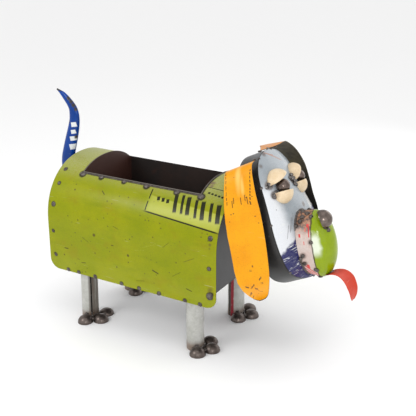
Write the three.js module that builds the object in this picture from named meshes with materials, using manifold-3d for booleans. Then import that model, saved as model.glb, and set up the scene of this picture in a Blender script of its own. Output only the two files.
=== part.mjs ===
// Scrap metal dog planter: a barrel-shaped body with an open planting tray in its back,
// tube legs with domed toes, a slanted head with hanging ears, a domed muzzle and a horn-shaped tail.
// Millimetres. +X is the way the dog faces, +Y its left, +Z up. The feet stand on z = 0.
import * as THREE from "three";
import { mergeVertices } from "three/addons/utils/BufferGeometryUtils.js";
import Module from "manifold-3d";

const wasm = await Module();
wasm.setup();

// Sizes.
const GAP = 0.3; // clearance between touching pieces
const SHEET = 1.5; // sheet metal thickness

const BODY = {
  half: 213.4, // half length
  w: 132, // half width
  bottom: 120.2, // lower edge of the sheet
  spring: 232.7, // where the straight sides meet the arch
  rise: 127.6, // height of the arch
  power: 2.2, // roundness of the arch
  corner: 24, // radius of the sheet's lower corners
};
const OPENING = { x: 149, y0: -81, y1: 93 }; // cut in the back for the tray
const LINER = { proud: 1.6, floor: 196 }; // rim above the sheet, and height of the tray's floor
const PLATE = { front: 197, rear: -197, bottom: 145.8, thick: 1.6 };
const TRAY = { drop: 19, inset: 1.8 };
const LEG = { r: 19, wall: 1.6, slot: 3, top: 143.6 };
// Each toe of a foot: forward and sideways place from the leg, radius and height.
const TOES = [[19, -24.5, 17.3, 16.2], [36.8, 5.7, 17.3, 16.2], [16, 33.8, 17, 13]];

const HEAD = { origin: [287.2, -1.8, 359.8], yaw: -3, pitch: 26.4, depth: 47, crown: 20 };
const FACE_CENTRE = [0, -58];
// half of the face outline, from the top round to the bottom
const FACE_HALF = [
  [0, 77], [14, 76], [26, 72.5], [37, 67], [46, 59], [53.5, 50], [60, 39], [64.5, 26], [67.5, 12],
  [70, -4], [73.5, -22], [77.5, -40], [82, -58], [86, -76], [88.7, -94], [90, -112], [89.5, -130],
  [87.5, -144], [83.5, -155], [77, -164], [68, -171.5], [55, -179], [38, -186], [19, -191], [0, -193],
];
const MUZZLE = { centre: [375.3, -6.4, 255.5], yaw: 5, pitch: 11, a: 39, b: 70, dome: 38 };
const MUZZLE_FOOT = { v: -121, a: 57, b: 65 }; // where the band meets the face
// Each ball or lid: its middle (u, v) on the face and radius; lids also the cut's offset and slant.
const EYES = [
  { name: "right", ball: [-21.5, 2, 15], upper: [-22.5, 11.5, 27, 6.5, 28], lower: [-27.5, -7, 25, 0, -10] },
  { name: "left", ball: [53.5, 1.5, 13], upper: [43.7, 9.7, 21, 4, 38], lower: [47.5, -12.5, 19, -5, -4] },
];

const FINISH = {
  green: 0x96a51c, darkPlate: 0x505052, liner: 0x2a221e, galvanised: 0xb8b8b2,
  blue: 0x1e55a5, face: 0xbec6cb, black: 0x1c1b1b, orange: 0xfaaa1e, pale: 0xe0cfc8, lid: 0xe1cda8,
  muzzle: 0x8fb41a, gunmetal: 0x4a403c, coral: 0xe15a4b,
};

const group = new THREE.Group();
group.name = "scrap_metal_dog_planter";

// Helpers.
const V = (x, y, z) => new THREE.Vector3(x, y, z);
const rad = THREE.MathUtils.degToRad;

// A geometry as a solid, turned to face outwards.
function solid(geometry) {
  const g = (geometry.index ? geometry.toNonIndexed() : geometry).clone();
  for (const name of Object.keys(g.attributes)) if (name !== "position") g.deleteAttribute(name);
  const m = mergeVertices(g, 1e-4);
  const p = m.attributes.position.array;
  const t = new Uint32Array(m.index.array);
  let keep = [];
  for (let i = 0; i < t.length; i += 3)
    if (t[i] !== t[i + 1] && t[i + 1] !== t[i + 2] && t[i] !== t[i + 2]) keep.push(t[i], t[i + 1], t[i + 2]);
  let volume = 0;
  const a = V(), b = V(), c = V();
  for (let i = 0; i < keep.length; i += 3) {
    a.fromArray(p, keep[i] * 3); b.fromArray(p, keep[i + 1] * 3); c.fromArray(p, keep[i + 2] * 3);
    volume += a.dot(b.cross(c));
  }
  if (volume < 0)
    for (let i = 0; i < keep.length; i += 3) [keep[i + 1], keep[i + 2]] = [keep[i + 2], keep[i + 1]];
  return new wasm.Manifold(new wasm.Mesh({ numProp: 3, vertProperties: p, triVerts: new Uint32Array(keep) }));
}

function geometryOf(body) {
  const m = body.getMesh();
  const g = new THREE.BufferGeometry();
  g.setAttribute("position", new THREE.BufferAttribute(new Float32Array(m.vertProperties), 3));
  g.setIndex(new THREE.BufferAttribute(new Uint32Array(m.triVerts), 1));
  g.computeVertexNormals();
  return g;
}

function add(name, body, colour, metalness = 0.6, roughness = 0.5) {
  const material = new THREE.MeshStandardMaterial({ color: colour, metalness, roughness });
  material.name = name + "_finish";
  const mesh = new THREE.Mesh(geometryOf(body), material);
  mesh.name = name;
  group.add(mesh);
  return body;
}

function frame(origin, yaw, pitch, roll = 0) {
  const cy = Math.cos(rad(yaw)), sy = Math.sin(rad(yaw)), cp = Math.cos(rad(pitch)), sp = Math.sin(rad(pitch));
  const n = V(cy * cp, sy * cp, sp);
  const l = V(-sy, cy, 0);
  const t = n.clone().cross(l);
  const m = new THREE.Matrix4().makeRotationAxis(n, rad(roll));
  l.applyMatrix4(m); t.applyMatrix4(m);
  return { o: V(...origin), n, l, t };
}
// A point of a frame: u to the dog's left, v up in the plane, h out of the plane.
const at = (f, u, v, h) => f.o.clone().addScaledVector(f.l, u).addScaledVector(f.t, v).addScaledVector(f.n, h);
const matrixOf = (f, origin = f.o) => new THREE.Matrix4().makeBasis(f.l, f.t, f.n).setPosition(origin);

// Shape coordinates (y, z) extruded along +X between two stations.
const ACROSS = new THREE.Matrix4().makeBasis(V(0, 1, 0), V(0, 0, 1), V(1, 0, 0));
// Shape coordinates (x, z) extruded along +Y.
const ALONG = new THREE.Matrix4().makeBasis(V(1, 0, 0), V(0, 0, 1), V(0, -1, 0));

function extrude(points, depth, matrix) {
  const shape = new THREE.Shape(points.map((p) => new THREE.Vector2(p[0], p[1])));
  const g = new THREE.ExtrudeGeometry(shape, { depth, bevelEnabled: false });
  return solid(g.applyMatrix4(matrix));
}
const acrossX = (points, x0, x1) => extrude(points, x1 - x0, new THREE.Matrix4().makeTranslation(x0, 0, 0).multiply(ACROSS));

function block(x0, x1, y0, y1, z0, z1) {
  const g = new THREE.BoxGeometry(x1 - x0, y1 - y0, z1 - z0);
  return solid(g.translate((x0 + x1) / 2, (y0 + y1) / 2, (z0 + z1) / 2));
}

// The arch of the body, moved inwards by a distance, from the right spring line to the left.
function arch(inset, segments = 36) {
  const out = [];
  const e = 2 / BODY.power;
  const point = (a) => [-BODY.w * Math.sign(Math.cos(a)) * Math.abs(Math.cos(a)) ** e, BODY.spring + BODY.rise * Math.sin(a) ** e];
  for (let i = 0; i <= segments; i++) {
    const a = (Math.PI * i) / segments;
    const p = point(a);
    const s0 = point(Math.max(a - 0.01, 0)), s1 = point(Math.min(a + 0.01, Math.PI));
    let dy = s1[0] - s0[0], dz = s1[1] - s0[1];
    if (i === 0 || i === segments) { dy = 0; dz = i === 0 ? 1 : -1; }
    const k = Math.hypot(dy, dz);
    out.push([p[0] + (dz / k) * inset, p[1] - (dy / k) * inset]);
  }
  return out;
}

// A thin sheet through f(u, v), with u and v from 0 to 1, made from a subdivided box.
function bentSheet(nu, nv, thickness, f) {
  const g = new THREE.BoxGeometry(1, 1, 1, nu, nv, 1);
  const p = g.attributes.position;
  const d = 1e-3;
  for (let i = 0; i < p.count; i++) {
    const u = p.getX(i) + 0.5, v = p.getY(i) + 0.5, w = p.getZ(i);
    const centre = f(u, v);
    const du = f(Math.min(u + d, 1), v).sub(f(Math.max(u - d, 0), v));
    const dv = f(u, Math.min(v + d, 1)).sub(f(u, Math.max(v - d, 0)));
    const normal = du.cross(dv).normalize();
    centre.addScaledVector(normal, w * thickness);
    p.setXYZ(i, centre.x, centre.y, centre.z);
  }
  return solid(g);
}

const smooth = (rows) => new THREE.CatmullRomCurve3(rows.map((r) => V(...r)), false, "centripetal");

// Body.
const sheetSection = [
  [-BODY.w, BODY.bottom], ...arch(0), [BODY.w, BODY.bottom],
  [BODY.w - SHEET, BODY.bottom], ...arch(SHEET).reverse(), [-BODY.w + SHEET, BODY.bottom],
];
const elevation = new THREE.Shape();
elevation.moveTo(-BODY.half, 420);
elevation.lineTo(-BODY.half, BODY.bottom + BODY.corner);
elevation.absarc(-BODY.half + BODY.corner, BODY.bottom + BODY.corner, BODY.corner, Math.PI, 1.5 * Math.PI, false);
elevation.absarc(BODY.half - BODY.corner, BODY.bottom + BODY.corner, BODY.corner, 1.5 * Math.PI, 2 * Math.PI, false);
elevation.lineTo(BODY.half, 420);
const outline = elevation.getPoints(5).map((p) => [p.x, p.y]);
const side = extrude(outline, 320, new THREE.Matrix4().makeTranslation(0, 160, 0).multiply(ALONG));
const opening = block(-OPENING.x, OPENING.x, OPENING.y0, OPENING.y1, 260, 420);
add("body_sheet", acrossX(sheetSection, -BODY.half, BODY.half).intersect(side).subtract(opening), FINISH.green);

const insideSection = [[-BODY.w + SHEET + GAP, PLATE.bottom], ...arch(SHEET + GAP), [BODY.w - SHEET - GAP, PLATE.bottom]];
add("front_end_plate", acrossX(insideSection, PLATE.front, PLATE.front + PLATE.thick), FINISH.darkPlate);
add("rear_end_plate", acrossX(insideSection, PLATE.rear - PLATE.thick, PLATE.rear), FINISH.darkPlate);

const trayTop = PLATE.bottom - GAP;
const trayY = BODY.w - TRAY.inset;
const traySection = [
  [-trayY, trayTop - TRAY.drop], [-trayY, trayTop], [trayY, trayTop], [trayY, trayTop - TRAY.drop],
  [trayY - SHEET, trayTop - TRAY.drop], [trayY - SHEET, trayTop - SHEET], [-trayY + SHEET, trayTop - SHEET],
  [-trayY + SHEET, trayTop - TRAY.drop],
];
add("bottom_tray", acrossX(traySection, PLATE.rear - PLATE.thick, PLATE.front + PLATE.thick), FINISH.darkPlate);

// The planting tray: four walls that follow the arch a little above it, and a floor.
const linerX = OPENING.x - GAP;
const l0 = OPENING.y0 + GAP, l1 = OPENING.y1 - GAP;
const crest = arch(-LINER.proud, 48);
const heightAt = (y) => {
  for (let i = 1; i < crest.length; i++)
    if (crest[i][0] >= y) {
      const [a, b] = [crest[i - 1], crest[i]];
      return a[1] + ((b[1] - a[1]) * (y - a[0])) / (b[0] - a[0]);
    }
  return BODY.spring;
};
const rim = crest.filter((p) => p[0] > l0 + 1 && p[0] < l1 - 1);
const linerSection = [[l0, LINER.floor], [l0, heightAt(l0)], ...rim, [l1, heightAt(l1)], [l1, LINER.floor]];
const linerInside = block(-linerX + SHEET, linerX - SHEET, l0 + SHEET, l1 - SHEET, LINER.floor + SHEET, 420);
add("planter_liner", acrossX(linerSection, -linerX, linerX).subtract(linerInside), FINISH.liner);

// Legs and toes.
function rolledTube(length, seam) {
  const half = LEG.slot / 2 / LEG.r;
  const ring = [];
  const n = 22;
  for (let i = 0; i <= n; i++) {
    const a = half + ((2 * Math.PI - 2 * half) * i) / n;
    ring.push([LEG.r * Math.cos(a), LEG.r * Math.sin(a)]);
  }
  for (let i = n; i >= 0; i--) {
    const a = half + ((2 * Math.PI - 2 * half) * i) / n;
    ring.push([(LEG.r - LEG.wall) * Math.cos(a), (LEG.r - LEG.wall) * Math.sin(a)]);
  }
  return extrude(ring, length, new THREE.Matrix4().makeRotationZ(rad(seam)));
}

const FEET = [
  { name: "rear_right", x: -139, y: -95.8, turn: -20, seam: -43 },
  { name: "front_right", x: 145, y: -98, turn: 0, seam: 100 },
  { name: "rear_left", x: -139, y: 72, turn: 12, seam: 80 },
  { name: "front_left", x: 145.5, y: 81.5, turn: 0, seam: -112 },
];
for (const foot of FEET) {
  add("leg_" + foot.name, rolledTube(LEG.top, foot.seam).translate([foot.x, foot.y, 0]), FINISH.galvanised);
  // The toes are notched where they meet the tube.
  const tube = new THREE.CylinderGeometry(LEG.r + GAP, LEG.r + GAP, 80, 44).rotateX(Math.PI / 2);
  const notch = solid(tube).translate([foot.x, foot.y, 0]);
  TOES.forEach(([fx, fy, r, h], k) => {
    const c = Math.cos(rad(foot.turn)), s = Math.sin(rad(foot.turn));
    const dome = new THREE.SphereGeometry(r, 14, 4, 0, 2 * Math.PI, 0, Math.PI / 2);
    const cap = new THREE.CircleGeometry(r, 14).rotateX(Math.PI / 2);
    const closed = solid(joinGeometry(dome, cap).rotateX(Math.PI / 2).scale(1, 1, h / r));
    const placed = closed.translate([foot.x + fx * c - fy * s, foot.y + fx * s + fy * c, 0]);
    add(`toe_${foot.name}_${k + 1}`, placed.subtract(notch), FINISH.gunmetal);
  });
}

// One geometry from a surface and the cap that closes it.
function joinGeometry(a, b) {
  const pa = (a.index ? a.toNonIndexed() : a).attributes.position.array;
  const pb = (b.index ? b.toNonIndexed() : b).attributes.position.array;
  const all = new Float32Array(pa.length + pb.length);
  all.set(pa); all.set(pb, pa.length);
  return new THREE.BufferGeometry().setAttribute("position", new THREE.BufferAttribute(all, 3));
}

// Tail.
// Centre line in the middle plane: x, z, and half the width seen from the side.
const TAIL = [
  [-199.2, 262, 15.5], [-212, 268, 16], [-233, 281, 16.4], [-249, 297, 16.8], [-257, 315, 17],
  [-256.6, 334, 16.8], [-252.4, 351.4, 16.4], [-247.3, 368.9, 16], [-242.7, 383.8, 15.7],
  [-238.1, 398.6, 15.1], [-234.2, 413.2, 14.3], [-231.4, 427.5, 13.4], [-231.3, 441.4, 12.6],
  [-233.7, 452.7, 11.2], [-239.3, 462.4, 9.6], [-248.5, 472.8, 8.2], [-260.6, 484, 6.2],
  [-268.9, 489.3, 3.8], [-277.2, 494.1, 1.8],
];
const TAIL_FLAT = 0.6; // thickness over width
{
  const g = new THREE.CylinderGeometry(1, 1, 1, 14, TAIL.length - 1);
  const p = g.attributes.position;
  for (let i = 0; i < p.count; i++) {
    const s = Math.round((p.getY(i) + 0.5) * (TAIL.length - 1));
    const [x, z, r] = TAIL[s];
    const a = TAIL[Math.max(s - 1, 0)], b = TAIL[Math.min(s + 1, TAIL.length - 1)];
    let dx = b[0] - a[0], dz = b[1] - a[1];
    if (s === 0) { dx = -1; dz = 0; } // the foot lies flat on the rear plate
    const k = Math.hypot(dx, dz);
    const off = p.getX(i) * r;
    p.setXYZ(i, x + (dz / k) * off, p.getZ(i) * r * TAIL_FLAT, z - (dx / k) * off);
  }
  add("tail", solid(g), FINISH.blue);
}

// Head.
const F = frame(HEAD.origin, HEAD.yaw, HEAD.pitch);
const OUTLINE_STEPS = 46;
const faceRing = (() => {
  const closed = [...FACE_HALF.map(([u, v]) => V(u, v, 0)), ...FACE_HALF.slice(1, -1).reverse().map(([u, v]) => V(-u, v, 0))];
  return new THREE.CatmullRomCurve3(closed, true, "centripetal").getSpacedPoints(OUTLINE_STEPS).slice(0, -1);
})();
// The outline moved inwards along its normal.
function ringInset(d) {
  return faceRing.map((p, i) => {
    const a = faceRing[(i + OUTLINE_STEPS - 1) % OUTLINE_STEPS], b = faceRing[(i + 1) % OUTLINE_STEPS];
    const k = Math.hypot(b.x - a.x, b.y - a.y);
    return [p.x + ((b.y - a.y) / k) * d, p.y - ((b.x - a.x) / k) * d];
  });
}
const faceHeight = (r) => (r >= 1 ? 0 : HEAD.crown * (1 - r ** 2.5));

// A dished plate over the face outline, between two distances from the dished surface.
function dish(top, bottom, reach = 1, flat = false) {
  const radii = [0, 0.35, 0.65, 0.87, 1].concat(reach > 1 ? [reach] : []);
  const profile = radii.map((r) => new THREE.Vector2(r, 1)).concat(radii.slice().reverse().map((r) => new THREE.Vector2(r, 0)));
  const g = new THREE.LatheGeometry(profile, OUTLINE_STEPS);
  const p = g.attributes.position;
  for (let i = 0; i < p.count; i++) {
    const x = p.getX(i), z = p.getZ(i), r = Math.hypot(x, z);
    const k = ((Math.round((Math.atan2(x, z) / (2 * Math.PI)) * OUTLINE_STEPS) % OUTLINE_STEPS) + OUTLINE_STEPS) % OUTLINE_STEPS;
    const edge = faceRing[k];
    const u = FACE_CENTRE[0] + r * (edge.x - FACE_CENTRE[0]), v = FACE_CENTRE[1] + r * (edge.y - FACE_CENTRE[1]);
    const lower = flat ? bottom : faceHeight(r) + bottom;
    p.setXYZ(i, u, v, p.getY(i) > 0.5 ? faceHeight(r) + top : lower);
  }
  return solid(g.applyMatrix4(matrixOf(F)));
}
const behindFace = dish(GAP, -60, 1.5, true); // everything up to just in front of the face
add("face_plate", dish(0, -SHEET), FINISH.face);

const ringOf = (pts) => pts.map((p) => (Array.isArray(p) ? p : [p.x, p.y]));
const bandMatrix = matrixOf(F, at(F, 0, 0, -HEAD.depth));
const bandInside = extrude(ringInset(SHEET), HEAD.depth + 40, matrixOf(F, at(F, 0, 0, -HEAD.depth - 20)));
add("head_band", extrude(ringOf(faceRing), HEAD.depth - SHEET - GAP, bandMatrix).subtract(bandInside), FINISH.black);
add("head_back_plate", extrude(ringOf(faceRing), SHEET, matrixOf(F, at(F, 0, 0, -HEAD.depth - GAP - SHEET))), FINISH.darkPlate);

// A short tube carries the head on the front plate.
const NECK = { z: 290, y: 2, r: 19 };
{
  const outer = solid(new THREE.CylinderGeometry(NECK.r, NECK.r, 160, 28).rotateZ(Math.PI / 2));
  const inner = solid(new THREE.CylinderGeometry(NECK.r - LEG.wall, NECK.r - LEG.wall, 200, 28).rotateZ(Math.PI / 2));
  const tube = outer.subtract(inner).translate([PLATE.front + PLATE.thick + GAP + 80, NECK.y, NECK.z]);
  const beyond = new THREE.BoxGeometry(600, 600, 400).translate(0, 0, 200 - HEAD.depth - 2 * GAP - SHEET);
  add("neck", tube.subtract(solid(beyond.applyMatrix4(matrixOf(F)))), FINISH.darkPlate);
}

// Ears.
// Each row of an ear: front edge (u, v, h) in the head's frame, then the width, rise and sideways
// shift of the back edge.
const EAR_TURN = 20; // degrees that the leaf flares away from the head
const EAR_RIGHT = [
  [-50.2, 67.2, -2, 63, 0], [-62.9, 63.9, -2, 58.5, 0], [-72.5, 50.2, -3, 59, 0], [-79.5, 25.8, -5, 64.5, 0],
  [-82.8, 6.6, -7, 68.5, 0], [-85.2, -23.2, -10, 74, 0], [-90, -52.1, -13, 75.5, 0], [-98.9, -89.6, -17, 73.5, 0],
  [-105.8, -117.6, -21, 72, 0], [-112.8, -141.4, -24.5, 67.5, 0], [-120.7, -157.9, -27, 56, 0],
  [-128.8, -169.8, -28.5, 41.5, 0], [-136.6, -177.3, -29.5, 28, 0], [-147, -179.4, -30, 14, 0],
  [-158.6, -178, -30.5, 5.5, 0],
];
const EAR_LEFT = [
  [-24, 80.9, 1, 22.7, 6.5, 40], [-8.4, 79.5, 1, 26.2, 7.6, 30], [8.5, 78.4, 1, 25, 9, 10], [24.5, 76.8, 2, 28.7, 11], [36, 76.4, 3.5, 36.5, 10.4], [46.4, 76.4, 5, 41.8, 9.6],
  [56, 77, 6.5, 44.6, 7.9], [66, 76.5, 8, 46, 6.4], [79.7, 67.2, 8, 50, 7], [92.2, 54.9, 7.5, 55, 4],
  [103.2, 35.7, 6.5, 62, 0], [108.1, 16.6, 6, 68, 0], [107.8, -2.1, 5, 71, 0], [104.8, -24, 4, 73.5, 0],
  [101.6, -46.9, 2.5, 74, 0], [101.2, -72.7, 1, 73, 0], [103, -95, -4, 70, 0], [107, -118, -9, 68.5, 0],
  [113, -141, -13, 64, 0], [121, -158, -16, 53, 0], [129, -170, -18, 41.5, 0], [137, -177, -19, 28, 0],
  [147, -179.4, -20, 14, 0], [158, -178, -20.5, 5.5, 0],
];
function ear(rows, turn) {
  const front = smooth(rows.map(([u, v, h]) => [u, v, h]));
  const n = rows.length - 1;
  const row = (s, k) => {
    const i = Math.min(Math.floor(s * n), n - 1);
    const [a, b] = [rows[i][k] ?? 0, rows[i + 1][k] ?? 0];
    return a + (b - a) * (s * n - i);
  };
  const c = Math.cos(rad(turn)), s = Math.sin(rad(turn));
  return bentSheet(3, Math.round(1.6 * n), SHEET, (u, v) => {
    const p = front.getPoint(v);
    const w = row(v, 3) * u;
    // A strip laid over the top of the head does not flare.
    const flare = row(v, 4) > 0 ? 0 : s;
    return at(F, p.x - flare * w + row(v, 5) * u, p.y + row(v, 4) * u, p.z - (flare ? c : 1) * w);
  });
}
add("ear_right", ear(EAR_RIGHT, EAR_TURN), FINISH.orange);
add("ear_left", ear(EAR_LEFT, -EAR_TURN), FINISH.orange);

// Muzzle, nose and tongue.
const M = frame(MUZZLE.centre, MUZZLE.yaw, MUZZLE.pitch);
// A loft from the foot on the face to the seam, grown by a distance and lengthened at its ends.
function bandSolid(grow, back, ahead) {
  const stations = [[0, -back], [0, 0], [0.5, 0], [1, 0], [1, ahead]];
  if (back <= 0) stations.splice(1, 1);
  if (ahead <= 0) stations.splice(-2, 1);
  const g = new THREE.CylinderGeometry(1, 1, 1, 32, stations.length - 1);
  const p = g.attributes.position;
  for (let i = 0; i < p.count; i++) {
    const [s, shift] = stations[Math.round((p.getY(i) + 0.5) * (stations.length - 1))];
    const x = p.getX(i), z = p.getZ(i);
    const foot = at(F, x * (MUZZLE_FOOT.a + grow), MUZZLE_FOOT.v + z * (MUZZLE_FOOT.b + grow), 0);
    const seam = at(M, x * (MUZZLE.a + grow), z * (MUZZLE.b + grow), 0);
    const q = foot.lerp(seam, s).addScaledVector(M.n, shift);
    p.setXYZ(i, q.x, q.y, q.z);
  }
  return solid(g);
}
const ellipsoid = (grow) =>
  solid(new THREE.SphereGeometry(1, 28, 14).scale(MUZZLE.a + grow, MUZZLE.b + grow, MUZZLE.dome + grow).applyMatrix4(matrixOf(M)));
const aheadOfSeam = (h) => solid(new THREE.BoxGeometry(300, 300, 200).translate(0, 0, 100 + h).applyMatrix4(matrixOf(M)));
add("muzzle_band", bandSolid(0, 0, -GAP).subtract(bandSolid(-SHEET, 30, 30)).subtract(behindFace), FINISH.pale);
add("muzzle_dome", ellipsoid(0).subtract(ellipsoid(-SHEET)).intersect(aheadOfSeam(0)), FINISH.muzzle);

// The point of the dome at height t and side l.
const surfacePoint = (t, l) => at(M, l, t, MUZZLE.dome * Math.sqrt(1 - (l / MUZZLE.a) ** 2 - (t / MUZZLE.b) ** 2));
// The nose is most of a ball; its flat base faces back along the axis.
const NOSE = { r: 18.9, place: [54, -12], axis: [0.813, 0.428, 0.396], base: -5.5 };
{
  const ball = solid(new THREE.SphereGeometry(NOSE.r, 18, 12).applyMatrix4(matrixOf(M, surfacePoint(...NOSE.place))));
  const turn = new THREE.Quaternion().setFromUnitVectors(V(0, 0, 1), V(...NOSE.axis).normalize());
  const front = new THREE.BoxGeometry(80, 80, 60).translate(0, 0, 30 + NOSE.base).applyQuaternion(turn);
  const place = surfacePoint(...NOSE.place);
  add("nose", ball.intersect(solid(front).translate(place.toArray())).subtract(ellipsoid(GAP)), FINISH.gunmetal);
}

// Centre line of the tongue in the head's middle plane, and its width.
const TONGUE = [
  [393, -7.3, 199.5, 24], [403, -7.8, 198, 26], [410.1, -8.4, 201.3, 29], [420.7, -9.2, 204.2, 33], [429.3, -9.8, 204.2, 36.5],
  [438.1, -10.6, 201, 39.5], [445.9, -11.2, 194.4, 41.5], [451.8, -11.6, 185.1, 40.5], [456.4, -11.7, 174.3, 36],
  [457.8, -11.4, 161.5, 24], [456.6, -11, 153.3, 9],
];
{
  const line = smooth(TONGUE.map((r) => r.slice(0, 3)));
  const n = TONGUE.length - 1;
  const f = (u, v) => {
    const k = Math.min(Math.floor(v * n), n - 1), w = TONGUE[k][3] + (TONGUE[k + 1][3] - TONGUE[k][3]) * (v * n - k);
    return line.getPoint(v).addScaledVector(F.l, (u - 0.5) * w);
  };
  add("tongue", bentSheet(3, 16, 1.8, f).subtract(ellipsoid(GAP)), FINISH.coral, 0.2, 0.5);
}

// Eyes.
function surfaceHeight(u, v) {
  // Distance of the dished face from the outline plane, found along the ray from the face's centre.
  const dx = u - FACE_CENTRE[0], dy = v - FACE_CENTRE[1];
  let best = 1e9, r = 0;
  for (const e of faceRing) {
    const ex = e.x - FACE_CENTRE[0], ey = e.y - FACE_CENTRE[1];
    const miss = Math.abs(Math.atan2(ex * dy - ey * dx, ex * dx + ey * dy));
    if (miss < best) { best = miss; r = Math.hypot(dx, dy) / Math.hypot(ex, ey); }
  }
  return faceHeight(r);
}
// Each lid is a piece of a flattened ball, cut off on the eye's side by a slanted plane.
const LID_DEPTH = 0.92; // depth over radius
function lid([u, v, r, offset, slant], up) {
  const m = matrixOf(F, at(F, u, v, surfaceHeight(u, v) - 2));
  const shell = (q) => solid(new THREE.SphereGeometry(1, 16, 10).scale(q, q, q * LID_DEPTH).applyMatrix4(m));
  const keep = new THREE.BoxGeometry(160, 80, 120).translate(0, 40 + offset, 0).rotateZ(rad(slant + (up ? 0 : 180)));
  return shell(r).subtract(shell(r - SHEET)).intersect(solid(keep.applyMatrix4(m))).subtract(behindFace);
}
for (const eye of EYES) {
  const [u, v, r] = eye.ball;
  const f = matrixOf(F, at(F, u, v, surfaceHeight(u, v)));
  const ball = solid(new THREE.SphereGeometry(r, 14, 8).applyMatrix4(f));
  add(`eyeball_${eye.name}`, ball.subtract(behindFace), FINISH.gunmetal);
  add(`upper_lid_${eye.name}`, lid(eye.upper, true), FINISH.lid, 0.2, 0.6);
  add(`lower_lid_${eye.name}`, lid(eye.lower, false), FINISH.lid, 0.2, 0.6);
}

// Frame.
// The origin sits on the ground below the middle of the whole figure.
const box = new THREE.Box3().setFromObject(group);
group.position.set(-(box.min.x + box.max.x) / 2, -(box.min.y + box.max.y) / 2, 0);

export default group;
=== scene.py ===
"""Looks of a dog planter welded from scrap sheet and tube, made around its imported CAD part.

Lengths are millimetres in the body's frame: x forwards from the middle of the body, y to the dog's
left, z up from the ground. A mesh is moved into the row frame, in metres, when its piece is placed.
"""

import logging
import random
from dataclasses import dataclass, field
from enum import Enum
from math import acos, atan2, copysign, cos, degrees, exp, floor, pi, radians, sin, sqrt
from typing import Callable, Optional, Sequence, Union

import bmesh
import bpy
from mathutils import Matrix, Vector, noise


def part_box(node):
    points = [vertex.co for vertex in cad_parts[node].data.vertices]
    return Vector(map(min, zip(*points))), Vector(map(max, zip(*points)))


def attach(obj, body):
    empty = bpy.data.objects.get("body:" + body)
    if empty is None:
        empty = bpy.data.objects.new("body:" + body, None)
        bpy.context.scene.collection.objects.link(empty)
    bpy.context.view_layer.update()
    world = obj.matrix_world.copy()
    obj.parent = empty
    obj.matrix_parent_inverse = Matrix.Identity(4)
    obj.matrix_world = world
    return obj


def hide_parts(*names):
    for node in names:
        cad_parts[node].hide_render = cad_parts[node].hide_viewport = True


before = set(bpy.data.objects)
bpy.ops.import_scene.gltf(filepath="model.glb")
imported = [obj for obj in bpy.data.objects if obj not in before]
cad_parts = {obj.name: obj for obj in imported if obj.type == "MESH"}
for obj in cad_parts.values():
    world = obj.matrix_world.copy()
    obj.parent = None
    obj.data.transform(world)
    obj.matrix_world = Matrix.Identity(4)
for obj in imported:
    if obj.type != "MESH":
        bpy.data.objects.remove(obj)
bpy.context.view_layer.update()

LOG = logging.getLogger("dog_planter")
MM = 0.001
SHEET = 1.5  # thickness of the sheet metal
GAP = 0.3  # clearance between two pieces
TINY = 1e-6  # a length under this counts as none
WELDED = 1e-3  # distance under which points of a closed sheet become one
PLACE = "place"  # vertex attribute: where a point lies on its own sheet, in millimetres

Colour = tuple[float, float, float, float]
Socket = bpy.types.NodeSocket
Amount = Union[float, Socket]
Paintable = Union[Colour, Socket]
Mesh = bmesh.types.BMesh
Look = bpy.types.Material
Bend = Callable[[float, float], Vector]  # a point of a sheet from its shares across and along
Triple = tuple[float, float, float]
Table = tuple[tuple[float, ...], ...]


# Places


def body_middle() -> Vector:
    """Returns the ground point under the middle of the body, in metres in the row frame."""
    low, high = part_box("body_sheet")
    return Vector(((low.x + high.x) / 2, (low.y + high.y) / 2, 0.0))


MIDDLE = body_middle()


class Side(Enum):
    """The dog's own sides, as the sign of y."""

    RIGHT = -1
    LEFT = 1

    @property
    def word(self) -> str:
        """The side as it stands in the names of nodes."""
        return self.name.lower()


@dataclass(frozen=True)
class Plane:
    """A flat frame of reference on the head: u to the dog's left, v up the plane, h out of it."""

    origin: Vector
    out: Vector
    left: Vector
    up: Vector

    @staticmethod
    def facing(origin: Sequence[float], yaw: float, pitch: float) -> "Plane":
        """Makes a plane from the way it faces.

        Args:
            origin: Its middle.
            yaw: Turn to the dog's left from straight ahead, in degrees.
            pitch: Tilt upwards, in degrees.

        Returns:
            The plane.
        """
        turn, tilt = radians(yaw), radians(pitch)
        out = Vector((cos(turn) * cos(tilt), sin(turn) * cos(tilt), sin(tilt)))
        left = Vector((-sin(turn), cos(turn), 0.0))
        return Plane(Vector(origin), out, left, out.cross(left))

    def at(self, u: float, v: float, h: float) -> Vector:
        """Returns the point at u, v and h."""
        return self.origin + self.left * u + self.up * v + self.out * h

    def on(self, point: Vector) -> Vector:
        """Returns u, v and h of a point."""
        off = point - self.origin
        return Vector((off.dot(self.left), off.dot(self.up), off.dot(self.out)))


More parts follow.
